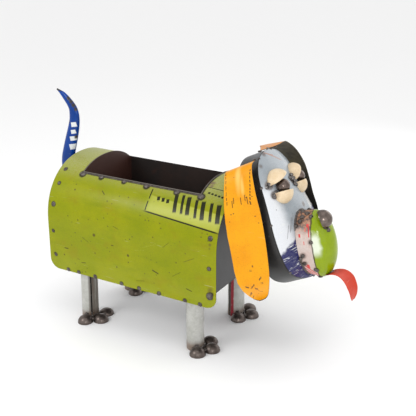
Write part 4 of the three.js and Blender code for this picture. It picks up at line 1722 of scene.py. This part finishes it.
@dataclass
class Ears:
    """Two strips bent over the top of the head, orange outside and bare inside."""

    head: Head
    flare: float = 20.0  # turn of the strip's width away from the head, in degrees
    level_rise: float = 8.0  # rise from which a row lies flat over the head and doesn't flare
    # welds to the head: u, v and h in its plane
    weld_places: Table = (
        (-47, 70, -4), (-52, 66, -34), (-22, 80, -2), (6, 79, -2), (34, 75, -1), (60, 46, -6), (66, 24, -30))
    right: tuple[EarRow, ...] = tuple(EarRow(*r) for r in (
        (-50.2, 67.2, -2, 63), (-62.9, 63.9, -2, 58.5), (-72.5, 50.2, -3, 59), (-79.5, 25.8, -5, 64.5),
        (-82.8, 6.6, -7, 68.5), (-85.2, -23.2, -10, 74), (-90, -52.1, -13, 75.5), (-98.9, -89.6, -17, 73.5),
        (-105.8, -117.6, -21, 72), (-112.8, -141.4, -24.5, 67.5), (-120.7, -157.9, -27, 56),
        (-128.8, -169.8, -28.5, 41.5), (-136.6, -177.3, -29.5, 28), (-147, -179.4, -30, 14),
        (-158.6, -178, -30.5, 5.5)))
    left: tuple[EarRow, ...] = tuple(EarRow(*r) for r in (
        (-24, 80.9, 1, 22.7, 6.5, 40), (-8.4, 79.5, 1, 26.2, 7.6, 30), (8.5, 78.4, 1, 25, 9, 10),
        (24.5, 76.8, 2, 28.7, 11), (36, 76.4, 3.5, 36.5, 10.4), (46.4, 76.4, 5, 41.8, 9.6),
        (56, 77, 6.5, 44.6, 7.9), (66, 76.5, 8, 46, 6.4), (79.7, 67.2, 8, 50, 7), (92.2, 54.9, 7.5, 55, 4),
        (103.2, 35.7, 6.5, 62), (108.1, 16.6, 6, 68), (107.8, -2.1, 5, 71), (104.8, -24, 4, 73.5),
        (101.6, -46.9, 2.5, 74), (101.2, -72.7, 1, 73), (103, -95, -4, 70), (107, -118, -9, 68.5),
        (113, -141, -13, 64), (121, -158, -16, 53), (129, -170, -18, 41.5), (137, -177, -19, 28),
        (147, -179.4, -20, 14), (158, -178, -20.5, 5.5)))

    def ear(self, side: Side) -> None:
        """Makes one ear as a bent strip.

        Args:
            side: Its side.
        """
        rows = self.right if side is Side.RIGHT else self.left
        front = Curve([(r.u, r.v, r.h) for r in rows])
        last = len(rows) - 1
        turn = radians(-side.value * self.flare)

        def between(values: Sequence[float], t: float) -> float:
            """Returns a row value at a share t down the ear."""
            i = min(int(t * last), last - 1)
            return values[i] + (values[i + 1] - values[i]) * (t * last - i)

        widths, rises, shifts = [r.width for r in rows], [r.rise for r in rows], [r.shift for r in rows]

        def shape(u: float, v: float) -> Vector:
            """Returns the ear's place at shares from its front to its back edge and down it.

            Args:
                u: Share from its front to its back edge.
                v: Share down it.

            Returns:
                The point.
            """
            p = front.at(v)
            w, rise = between(widths, v) * u, between(rises, v)
            bend = turn * max(0.0, 1.0 - rise / self.level_rise)
            aside = p.x - sin(bend) * w + between(shifts, v) * u
            return self.head.plane.at(aside, p.y + rise * u, p.z - cos(bend) * w)

        bm = bmesh.new()
        bent_sheet(bm, 12, 6 * last, shape, lambda u, v: Vector((u * 100, v * 100, 0)))
        face_outwards(bm, self.head.plane.at(0, -60, -30))
        looks = [self.orange(side), self.bare_inside(side)]
        build = Build(sheet=SHEET, middle=True, lined=True, even=False, edge=0.35, crease=60)
        place_piece(bm, f"{side.word}_ear_strip", looks, [f"ear_{side.word}"], build)

    def orange(self, side: Side) -> Look:
        """Returns the glossy orange paint with plain dashes near the top, a painted highlight near the near
        ear's top, and chips near the tip.

        Args:
            side: The ear's side.

        Returns:
            The material.
        """
        sunny, shaded = (srgb(230, 157, 12), srgb(220, 140, 8)), (srgb(210, 132, 4), srgb(196, 118, 4))
        tones = sunny if side is Side.RIGHT else shaded
        coat = Finish(
            f"glossy_orange_{side.word}", *tones, roughness=0.34, sheen=0.12, coat=0.22, blur=0.3,
            patches=24.0, drift=0.7, specks=0.48, scuffs=0.16, relief=0.15, bare=srgb(72, 56, 40)).start()
        dark = srgb(70, 52, 26)
        if side is Side.RIGHT:
            ladder = [Bar(6 + 1.6 * k, 12.4 + 2.1 * k, 1.8, 0.75) for k in range(10)]
            places = (28, 29.5), (34, 27.5), (47, 28.5), (69, 27), (74, 28.6)
            dashes = [Bar(x, y, 1.3, 2.0) for x, y in places]
            edge = [Bar(97 - 1.0 * k, 5 + 3.2 * k, 1.2, 1.1) for k in range(8)]
            coat.bars(ladder + dashes + edge, dark, worn=0.36, strength=0.9)
            chips = Bar.rows(
                (31, 66.3, 5.5, 0.8, 10), (61, 70.3, 9.0, 0.7, 8), (51, 73.4, 5.0, 0.9, -12),
                (85, 76.9, 9.0, 0.8, 10), (26.5, 70, 4.0, 0.8, 0), (54, 59.6, 2.6, 0.6, 0),
                (79, 69.5, 5.0, 0.7, -8), (86, 81, 8.0, 0.6, 12), (46, 57.7, 2.0, 0.5, 0),
                (40, 77, 9.0, 0.35, -8))
            # pale spots near the top of the near ear: a painted highlight
            coat.stains(Spot.rows((50, 13, 0, 2.0, 15.0), (38, 20, 0, 1.0, 9.0)), srgb(250, 206, 120), 0.55)
        else:
            chips = Bar.rows((60, 84, 5.0, 0.8, 20), (40, 88, 4.0, 0.6, -24), (70, 60, 3.0, 0.6, 0))
        coat.bars(chips, srgb(60, 48, 38), worn=0.46)
        return coat.done()

    def bare_inside(self, side: Side) -> Look:
        """Returns the dark bare steel inside an ear, browner over the head and turned black by painted shade
        further down.

        Args:
            side: The ear's side.

        Returns:
            The material.
        """
        coat = Finish(
            f"ear_inside_{side.word}", srgb(94, 86, 71), srgb(54, 48, 39), roughness=0.5, metallic=0.2,
            patches=46.0, drift=0.9, scuffs=0.1, relief=0.5, bare=srgb(96, 84, 66)).start()
        g = coat.g
        _, down, _ = g.parts(g.jog(g.sheet_place(), 0.05, 6.0))
        # painted shade: the inside turns black further down the ear, away from the head
        coat.mark(g.step(down, 42.0, 66.0), srgb(26, 24, 22), 0.85)
        return coat.done()

    def welds(self) -> None:
        """Welds the ears to the head."""
        bm = bmesh.new()
        plane = self.head.plane
        out = (plane.up + plane.out * 0.3).normalized()
        for k, place in enumerate(self.weld_places):
            weld_blob(bm, plane.at(*place), out, 4.2, 2.0, seed=k + 60)
        place_piece(bm, "ear_welds", [WELD.make()])

    def build(self) -> None:
        """Builds both ears."""
        for side in Side:
            self.ear(side)
        self.welds()


@dataclass(frozen=True)
class Lid:
    """A lid on the face: middle, radius, how far from the middle it is cut and the cut's slant."""

    u: float
    v: float
    radius: float
    offset: float
    slant: float


@dataclass(frozen=True)
class Eye:
    """A ball with an upper and a lower lid."""

    side: Side
    ball: Triple  # u, v and radius
    upper: Lid
    lower: Lid


@dataclass
class Eyes:
    """Two dark balls, each held between two lids cut from pressed domes."""

    head: Head
    lid_depth: float = 0.92
    sunk: float = 2.0  # how far a lid's middle lies behind the face
    raised: float = 6.5  # how far a ball's middle lies before it
    # lumps of weld beside and between the eyes: u, v, radius and height
    lumps: Table = (
        (-50, 14, 5.4, 6.5), (-57, 11, 4.2, 4.0), (-47, 20, 3.8, 4.6), (-51, -10, 5.8, 6.5),
        (-45, -5, 4.2, 4.4), (25, 11, 4.8, 6.0), (21, 5, 5.2, 7.0), (25, -1, 5.0, 6.5), (22, -7, 4.6, 5.4),
        (28, -11, 3.8, 4.6), (15, 8, 3.8, 4.0), (30, 5, 3.6, 6.0),
    )
    # burns and painted shade on the lids' weld side: u, v and h in the face's plane
    lid_burns_and_shade: Table = (
        (-50, 6, 14), (-48, -8, 14), (8, 4, 24), (22, -6, 22),
    )
    eyes: tuple[Eye, ...] = (
        Eye(Side.RIGHT, (-28, 1.4, 14.5), Lid(-25.5, 9.5, 28.5, 10.8, 18), Lid(-28, -8.5, 25, 1, 170)),
        Eye(Side.LEFT, (56.5, 2, 12), Lid(47.5, 10.5, 22.5, 2.0, 44), Lid(47.5, -12.5, 20, -5, 176)),
    )

    def frame_at(self, u: float, v: float, off: float) -> Matrix:
        """Returns the matrix that puts a shape on the face at u and v.

        Args:
            u: To the left.
            v: Up the face.
            off: How far the shape's middle stands out.

        Returns:
            The matrix.
        """
        plane = self.head.plane
        turn = Matrix((plane.left, plane.up, plane.out)).transposed().to_4x4()
        return Matrix.Translation(plane.at(u, v, self.head.height(u, v) + off)) @ turn

    def settle(self, bm: Mesh, opened: bool = False) -> None:
        """Lifts points that lie behind the face to just in front of it.

        Args:
            bm: The mesh, with its points in the body's frame.
            opened: Whether faces that are wholly behind the face are taken away.
        """
        plane = self.head.plane
        places = {v: plane.on(v.co) for v in bm.verts}
        lows = {v: self.head.height(p.x, p.y) + GAP for v, p in places.items()}
        behind = {v for v in bm.verts if places[v].z < lows[v]}
        for v in behind:
            v.co = plane.at(places[v].x, places[v].y, lows[v])
        if opened:
            hidden = [f for f in bm.faces if all(v in behind for v in f.verts)]
            bmesh.ops.delete(bm, geom=hidden, context="FACES")
            bmesh.ops.dissolve_degenerate(bm, dist=0.12, edges=bm.edges)

    def ball(self, eye: Eye) -> None:
        """Makes one eyeball, flat where it sits on the face.

        Args:
            eye: Its eye.
        """
        u, v, r = eye.ball
        bm = bmesh.new()
        bmesh.ops.create_uvsphere(bm, u_segments=40, v_segments=28, radius=r)
        bmesh.ops.transform(bm, matrix=self.frame_at(u, v, self.raised), verts=bm.verts)
        self.settle(bm)
        name = f"ball_{eye.side.word}_eye"
        place_piece(bm, name, [self.steel], [f"eyeball_{eye.side.word}"], Build(crease=70))

    def lid(self, eye: Eye, lid: Lid, word: str) -> None:
        """Makes one lid: part of a dome, cut by a slanted plane and set on the face.

        Args:
            eye: Its eye.
            lid: The lid's numbers.
            word: Whether it is the upper or the lower one.
        """
        bm = bmesh.new()
        bmesh.ops.create_uvsphere(bm, u_segments=64, v_segments=40, radius=lid.radius)
        bmesh.ops.scale(bm, vec=(1, 1, self.lid_depth), verts=bm.verts)
        a = radians(lid.slant)
        away = Vector((-sin(a), cos(a), 0))
        for centre, normal in ((away * lid.offset, away), (Vector((0, 0, -9)), Vector((0, 0, 1)))):
            cut_away(bm, centre, normal)
        bmesh.ops.transform(bm, matrix=self.frame_at(lid.u, lid.v, -self.sunk), verts=bm.verts)
        self.settle(bm, opened=True)
        face_outwards(bm, self.frame_at(lid.u, lid.v, -self.sunk).translation)
        name = f"{word}_lid_cup_{eye.side.word}"
        build = Build(sheet=SHEET, even=False, edge=0.3, crease=60)
        place_piece(bm, name, [self.cream], [f"{word}_lid_{eye.side.word}"], build)

    def cream_paint(self) -> Look:
        """Returns the lids' matt cream paint, browned low down at the welds by burns and by painted shade on
        the lids' shaded side.

        Returns:
            The material.
        """
        coat = Finish(
            "matt_cream_paint", srgb(228, 206, 172), srgb(214, 188, 148), roughness=0.5, patches=60.0,
            drift=0.8, scuffs=0.2, relief=0.5, bare=srgb(120, 88, 62)).start()
        # brown spots: weld burns and painted shade on the lids' weld side
        welds = [Spot(tuple(self.head.plane.at(*place)), 3.0, 13.0) for place in self.lid_burns_and_shade]
        coat.stains(welds, srgb(120, 86, 62), 0.7, own=False)
        return coat.done()

    def welds(self) -> None:
        """Puts the lumps of weld beside and between the eyes."""
        bm = bmesh.new()
        plane = self.head.plane
        for k, (u, v, r, h) in enumerate(self.lumps):
            weld_blob(bm, plane.at(u, v, self.head.height(u, v)), plane.out, r, h, seed=k + 70)
        place_piece(bm, "eye_welds", [BEAD.make()])

    def build(self) -> None:
        """Builds both eyes."""
        self.steel, self.cream = EYE_STEEL.make(), self.cream_paint()
        for eye in self.eyes:
            self.ball(eye)
            self.lid(eye, eye.upper, "upper")
            self.lid(eye, eye.lower, "lower")
        self.welds()


@dataclass
class Muzzle:
    """The muzzle: a short tapering band, a domed end, a nose and a tongue."""

    head: Head
    plane: Plane = field(default_factory=lambda: Plane.facing((375.3, -6.4, 255.5), 5, 11))
    half_width: float = 39.0
    half_height: float = 70.0
    dome: float = 38.0
    foot: Triple = (-121.0, 50.0, 65.0)  # v on the face, half width, half height
    foot_flare: tuple[float, float] = (8.0, 3.0)  # how much wider and taller it is below than above
    nose_radius: float = 18.9
    nose_place: tuple[float, float] = (54.0, -12.0)  # up and to the left on the dome
    nose_axis: Vector = field(default_factory=lambda: Vector((0.813, 0.428, 0.396)).normalized())
    nose_base: float = -5.5
    # burns on the band: angle and share of the way forwards
    band_burns: Table = (
        (200, 0.0), (193, 0.28), (209, 0.22), (140, 0.05), (220, 1.0), (167, 1.0), (130, 0.34), (252, 0.97),
    )
    # runs of weld on the face: first and last angle, radius
    foot_welds: Table = (
        (40, 150, 3.4), (196, 246, 3.0), (262, 300, 2.6), (330, 370, 2.6),
    )
    # lumps of weld on the band: angle, share of the way forwards, radius and height
    lumps: Table = (
        (108, 0.72, 6.4, 4.6), (119, 0.42, 6.0, 4.4), (130, 0.3, 6.0, 4.4), (80, 0.6, 6.4, 4.2),
        (117, 1.0, 5.6, 4.0), (140, 0.06, 5.6, 5.4), (167, 1.0, 5.0, 3.4), (200, 0.02, 5.6, 4.6),
        (193, 0.28, 5.2, 4.2), (209, 0.22, 5.0, 4.2), (220, 0.98, 7.0, 4.4), (252, 0.96, 6.0, 3.6),
        (96, 0.3, 5.6, 4.2), (64, 0.3, 5.4, 4.0), (300, 0.96, 5.0, 2.6), (350, 0.97, 4.6, 2.4),
        (30, 0.97, 4.6, 2.4), (56, 0.97, 5.0, 3.0), (330, 0.1, 5.4, 4.0), (10, 0.1, 5.2, 4.0),
    )
    lump_size: float = 0.8  # by which their radii and heights are multiplied
    tongue_cup: float = 0.9  # how deep it is cupped along its middle
    # centre line of the tongue and its width
    tongue_rows: Table = (
        (393, -7.3, 199.5, 24), (403, -7.8, 198, 26), (410.1, -8.4, 201.3, 29), (420.7, -9.2, 204.2, 33),
        (429.3, -9.8, 204.2, 36.5), (438.1, -10.6, 201, 39.5), (445.9, -11.2, 194.4, 41.5),
        (451.4, -11.6, 185.1, 40.5), (455.8, -11.7, 174.3, 37), (457.2, -11.4, 161.5, 27),
        (456.2, -11, 153.3, 12),
    )

    def foot_point(self, a: float) -> Vector:
        """Returns the band's edge on the face at an angle, from the left round over the top.

        Args:
            a: The angle.

        Returns:
            The point.
        """
        v0, half_u, half_v = self.foot
        wider, taller = (f * -sin(a) for f in self.foot_flare)
        u, v = cos(a) * (half_u + wider), v0 + sin(a) * (half_v + taller)
        return self.head.plane.at(u, v, self.head.height(u, v) + GAP)

    def seam_point(self, a: float, h: float = 0.0) -> Vector:
        """Returns the seam between band and dome at an angle."""
        return self.plane.at(cos(a) * self.half_width, sin(a) * self.half_height, h)

    def away(self, a: float) -> Vector:
        """Returns the direction out of the muzzle's side at an angle."""
        return self.plane.left * cos(a) + self.plane.up * sin(a)

    def band(self) -> None:
        """Makes the band between the face and the dome."""
        bm = bmesh.new()

        def shape(u: float, v: float) -> Vector:
            """Returns the band's place at shares round it and forwards."""
            a = 2 * pi * u
            return self.foot_point(a).lerp(self.seam_point(a, -GAP), v)

        verts = bent_sheet(bm, 120, 12, shape, lambda u, v: Vector((u * 360, v * 100, 0)))
        bmesh.ops.remove_doubles(bm, verts=verts, dist=WELDED)
        face_outwards(bm, self.plane.at(0, 0, -20))
        looks = [self.band_paint(), PRIMER.make()]
        place_piece(bm, "muzzle_sleeve", looks, ["muzzle_band"], LINED)

    def band_paint(self) -> Look:
        """Returns the band's off-white paint with plain red marks and burns at its welds.

        Returns:
            The material.
        """
        coat = Finish(
            "off_white_paint", srgb(204, 191, 184), srgb(197, 173, 163), roughness=0.35, coat=0.15,
            sheen=0.3, patches=60.0, drift=0.8, specks=0.3, scuffs=0.2, relief=0.3,
            bare=srgb(94, 66, 50)).start()
        g = coat.g
        x, y, z = g.parts(g.jog(coat.body_place(), 0.08, 7.0))
        top = g.step(z, 282.0, 300.0)
        burnt = g.grain(coat.where, (130, 130, 130), 5.0, 0.7)
        coat.mark(top, g.mix(g.step(burnt, 0.42, 0.6), srgb(170, 116, 82), srgb(56, 41, 36)), 0.9)
        stripes = [Bar(222 + 9.5 * k, 50, 2.3, 54, -16.7) for k in range(4)]
        marks = Bar.rows(
            (158, 27, 3.2, 6, 0), (150, 88, 9, 3.6, 0), (138, 82, 3.4, 8, 0), (214, 46, 4.6, 11, 0),
            (146, 66, 4, 2.4, 0), (170, 52, 3, 2.4, 0))
        coat.bars(stripes + marks, srgb(206, 48, 46), worn=0.26)
        welds = [Spot(tuple(self.side_point(a, s)), 2.0, 9.0) for a, s in self.band_burns]
        coat.stains(welds, srgb(74, 52, 44), own=False)
        return coat.done()

    def side_point(self, angle: float, share: float) -> Vector:
        """Returns a place on the band at an angle, in degrees, and a share of the way forwards."""
        a = radians(angle)
        return self.foot_point(a).lerp(self.seam_point(a, -GAP), share)

    def cap(self) -> None:
        """Makes the domed end."""
        bm = bmesh.new()
        bmesh.ops.create_uvsphere(bm, u_segments=96, v_segments=64, radius=1.0)
        cut_away(bm, (0, 0, 0), (0, 0, 1))
        layer = bm.verts.layers.float_vector.new(PLACE)
        for v in bm.verts:
            v.co = Vector((v.co.x * self.half_width, v.co.y * self.half_height, v.co.z * self.dome))
            v[layer] = v.co
            v.co = self.plane.at(*v.co)
        face_outwards(bm, self.plane.origin)
        looks = [self.cap_paint(), PRIMER.make()]
        place_piece(bm, "muzzle_cap", looks, ["muzzle_dome"], LINED)

    def cap_paint(self) -> Look:
        """Returns the dome's glossy green with painted reflections as pale margins left and right.

        Returns:
            The material.
        """
        coat = Finish(
            "glossy_leaf_green", srgb(138, 160, 0), srgb(124, 146, 0), roughness=0.18, coat=0.45, blur=0.14,
            sheen=0.1, patches=40.0, specks=0.2, scuffs=0.12, relief=0.12,
            bare=srgb(84, 62, 46)).start()
        g = coat.g
        left, up, out = g.parts(g.jog(g.sheet_place(), 0.06, 3.0))
        # painted reflection: a pale margin on the dome's side towards the dog's left
        far_side_reflection = g.times(g.step(left, 0.0, 9.0), g.fade(up, 16.0, 46.0))
        coat.mark(far_side_reflection, srgb(214, 222, 190), 0.7)
        # painted highlight: a white margin down the dome's near side
        reach = g.fade(g.gap(up, 20.0), 20.0, 42.0)
        near = g.times(g.fade(left, -37.0, -32.0), reach)
        coat.mark(near, srgb(232, 238, 222), 0.85)
        coat.mark(g.fade(out, 0.6, 2.6), srgb(66, 52, 36), 0.85)
        coat.mark(g.fade(up, -67.0, -60.0), srgb(104, 92, 30), 0.7)
        return coat.done()

    def surface(self, up: float, left: float) -> Vector:
        """Returns the dome's point at up and left."""
        share = 1 - (left / self.half_width) ** 2 - (up / self.half_height) ** 2
        return self.plane.at(left, up, self.dome * sqrt(max(share, 0)))

    def nose(self) -> None:
        """Makes the nose: most of a ball, cut flat at the back and seated on the dome."""
        bm = bmesh.new()
        bmesh.ops.create_uvsphere(bm, u_segments=56, v_segments=40, radius=self.nose_radius)
        cut_away(bm, self.nose_axis * self.nose_base, self.nose_axis, closed=True)
        centre = self.surface(*self.nose_place)
        bmesh.ops.translate(bm, vec=centre, verts=bm.verts)
        place_piece(bm, "nose_ball", [POLISHED.make()], ["nose"], Build(edge=0.5, crease=50))

    def tongue(self) -> None:
        """Makes the tongue: a curled strip, a little cupped along its middle."""
        line = Curve([r[:3] for r in self.tongue_rows])
        widths = Curve([(r[3], 0, 0) for r in self.tongue_rows])
        left = self.head.plane.left

        def shape(u: float, v: float) -> Vector:
            """Returns the tongue's place at shares across and along it.

            Args:
                u: Share across it.
                v: Share along it.

            Returns:
                The point.
            """
            ahead = (line.at(min(v + 0.02, 1)) - line.at(max(v - 0.02, 0))).normalized()
            over = ahead.cross(left).normalized()
            across = 2 * u - 1
            cup = self.tongue_cup * (across**2 - 0.5) * min(v * 4, 1)
            return line.at(v) + left * (across * 0.5 * widths.at(v).x) + over * cup

        bm = bmesh.new()
        bent_sheet(bm, 14, 60, shape, lambda u, v: Vector((u * 100, v * 100, 0)))
        face_outwards(bm, Vector((415, -9, 160)))
        build = Build(sheet=1.8, middle=True, edge=0.4, crease=60)
        place_piece(bm, "tongue_strip", [self.coral()], ["tongue"], build)

    def coral(self) -> Look:
        """Returns the tongue's coral paint, redder down its middle and burnt at its root.

        Returns:
            The material.
        """
        coat = Finish(
            "coral_paint", srgb(206, 66, 40), srgb(192, 50, 28), coat=0.08, sheen=0.1,
            patches=50.0, drift=0.7, scuffs=0.3, specks=0.25, relief=0.3, bare=srgb(110, 52, 40)).start()
        g = coat.g
        across, along, _ = g.parts(g.jog(g.sheet_place(), 0.06, 6.0))
        middle = g.fade(g.gap(across, 50.0), 6.0, 24.0)
        coat.mark(middle, srgb(196, 62, 48), 0.4)
        coat.mark(g.fade(along, 14.0, 24.0), srgb(82, 50, 40), 0.85)
        return coat.done()

    def welds(self) -> None:
        """Runs the welds round the band's foot and seam, and at nose and tongue."""
        bm = bmesh.new()
        head_out = self.head.plane.out
        for k, (start, end, r) in enumerate(self.foot_welds):
            turns = [radians(start + (end - start) * i / 60) for i in range(61)]
            path = [self.foot_point(a) for a in turns]
            out = [(self.away(a) + head_out).normalized() for a in turns]
            weld_bead(bm, path, out, r, seed=k + 80)
        for k, (angle, share, r, h) in enumerate(self.lumps):
            out = self.away(radians(angle)).normalized()
            size = r * self.lump_size, h * self.lump_size
            weld_blob(bm, self.side_point(angle, share), out, *size, seed=k + 90)
        weld_blob(bm, self.surface(33, -15), self.plane.out, 4.6, 4.2, seed=120)
        weld_blob(bm, self.surface(39, -19), self.plane.out, 3.8, 3.4, seed=121)
        root = Vector(self.tongue_rows[1][:3])
        weld_blob(bm, root + Vector((4, 0, 2)), Vector((0.6, 0, 0.8)), 6.0, 3.2, seed=122)
        place_piece(bm, "muzzle_welds", [WELD.make()])

    def build(self) -> None:
        """Builds the muzzle with its nose and tongue."""
        self.band()
        self.cap()
        self.nose()
        self.tongue()
        self.welds()


# Studio


@dataclass(frozen=True)
class Lamp:
    """One soft area light: where it stands and what it faces, in metres."""

    name: str
    place: Triple
    target: Triple
    size: tuple[float, float]
    watts: float


@dataclass
class Studio:
    """The pale floor, the soft lights and the camera of the photograph."""

    azimuth: float = 30.18
    elevation: float = 20.33
    place: Triple = (0.85691, -1.42147, 0.89137)
    lens: float = 71.56
    sensor: float = 36.0
    clip: tuple[float, float] = (0.05, 50.0)
    world_strength: float = 0.92
    floor_size: float = 30.0
    floor_drop: float = 0.0004  # how far the floor lies under the feet
    lamps: tuple[Lamp, ...] = (
        Lamp("key", (-0.70, -1.10, 1.08), (0.0, -0.1, 0.28), (0.5, 0.32), 5.6),
        Lamp("top", (0.2, 0.1, 2.2), (0, 0, 0.2), (1.6, 1.2), 4),
        Lamp("fill", (1.9, -0.9, 0.9), (0.1, 0, 0.2), (1.0, 1.2), 2.0),
        Lamp("rim", (0.6, 1.5, 0.8), (0.2, 0.0, 0.25), (1.2, 1.0), 4.5),
        Lamp("spark", (1.25, -1.75, 0.95), (0.25, 0.0, 0.28), (0.45, 0.45), 7.5),
    )

    def camera(self) -> None:
        """Puts the camera where the photograph was taken from."""
        a, e = radians(self.azimuth), radians(self.elevation)
        back = Vector((sin(a) * cos(e), -cos(a) * cos(e), sin(e)))
        right = Vector((cos(a), sin(a), 0.0))
        up = back.cross(right)
        data = bpy.data.cameras.new("camera")
        data.lens, data.sensor_width, data.sensor_fit = self.lens, self.sensor, "AUTO"
        data.clip_start, data.clip_end = self.clip
        camera = bpy.data.objects.new("camera", data)
        turn = Matrix((right, up, back)).transposed().to_4x4()
        camera.matrix_world = Matrix.Translation(self.place) @ turn
        bpy.context.scene.collection.objects.link(camera)
        bpy.context.scene.camera = camera

    def light(self, lamp: Lamp) -> None:
        """Adds one light.

        Args:
            lamp: The light.
        """
        data = bpy.data.lights.new(lamp.name, "AREA")
        data.shape, data.size, data.size_y, data.energy = "RECTANGLE", *lamp.size, lamp.watts
        light = bpy.data.objects.new(lamp.name, data)
        aim = (Vector(lamp.target) - Vector(lamp.place)).to_track_quat("-Z", "Y").to_matrix().to_4x4()
        light.matrix_world = Matrix.Translation(lamp.place) @ aim
        bpy.context.scene.collection.objects.link(light)

    def floor(self) -> None:
        """Lays the pale floor."""
        bm = bmesh.new()
        bmesh.ops.create_grid(bm, x_segments=1, y_segments=1, size=self.floor_size)
        mesh = bpy.data.meshes.new("studio_floor")
        bm.to_mesh(mesh)
        bm.free()
        ground = bpy.data.objects.new("studio_floor", mesh)
        ground.location.z = -self.floor_drop
        g = Graph("studio_white")
        g.shader.inputs["Base Color"].default_value = (0.97, 0.97, 0.97, 1)
        g.shader.inputs["Roughness"].default_value = 0.9
        mesh.materials.append(g.material)
        bpy.context.scene.collection.objects.link(ground)

    def build(self) -> None:
        """Sets up the studio."""
        world = bpy.data.worlds.new("studio")
        world.use_nodes = True
        back = next(n for n in world.node_tree.nodes if n.type == "BACKGROUND")
        back.inputs[0].default_value = (1, 1, 1, 1)
        back.inputs[1].default_value = self.world_strength
        bpy.context.scene.world = world
        bpy.context.scene.view_settings.view_transform = "Standard"
        self.floor()
        for lamp in self.lamps:
            self.light(lamp)
        self.camera()


def main() -> None:
    """Builds the dog around its CAD part, piece by piece, and the studio around it."""
    logging.basicConfig(level=logging.INFO, format="%(name)s: %(message)s")
    Studio().build()
    Body().build()
    Legs().build()
    Tail().build()
    head = Head()
    head.build()
    Ears(head).build()
    Eyes(head).build()
    Muzzle(head).build()


if __name__ == "__main__":
    main()
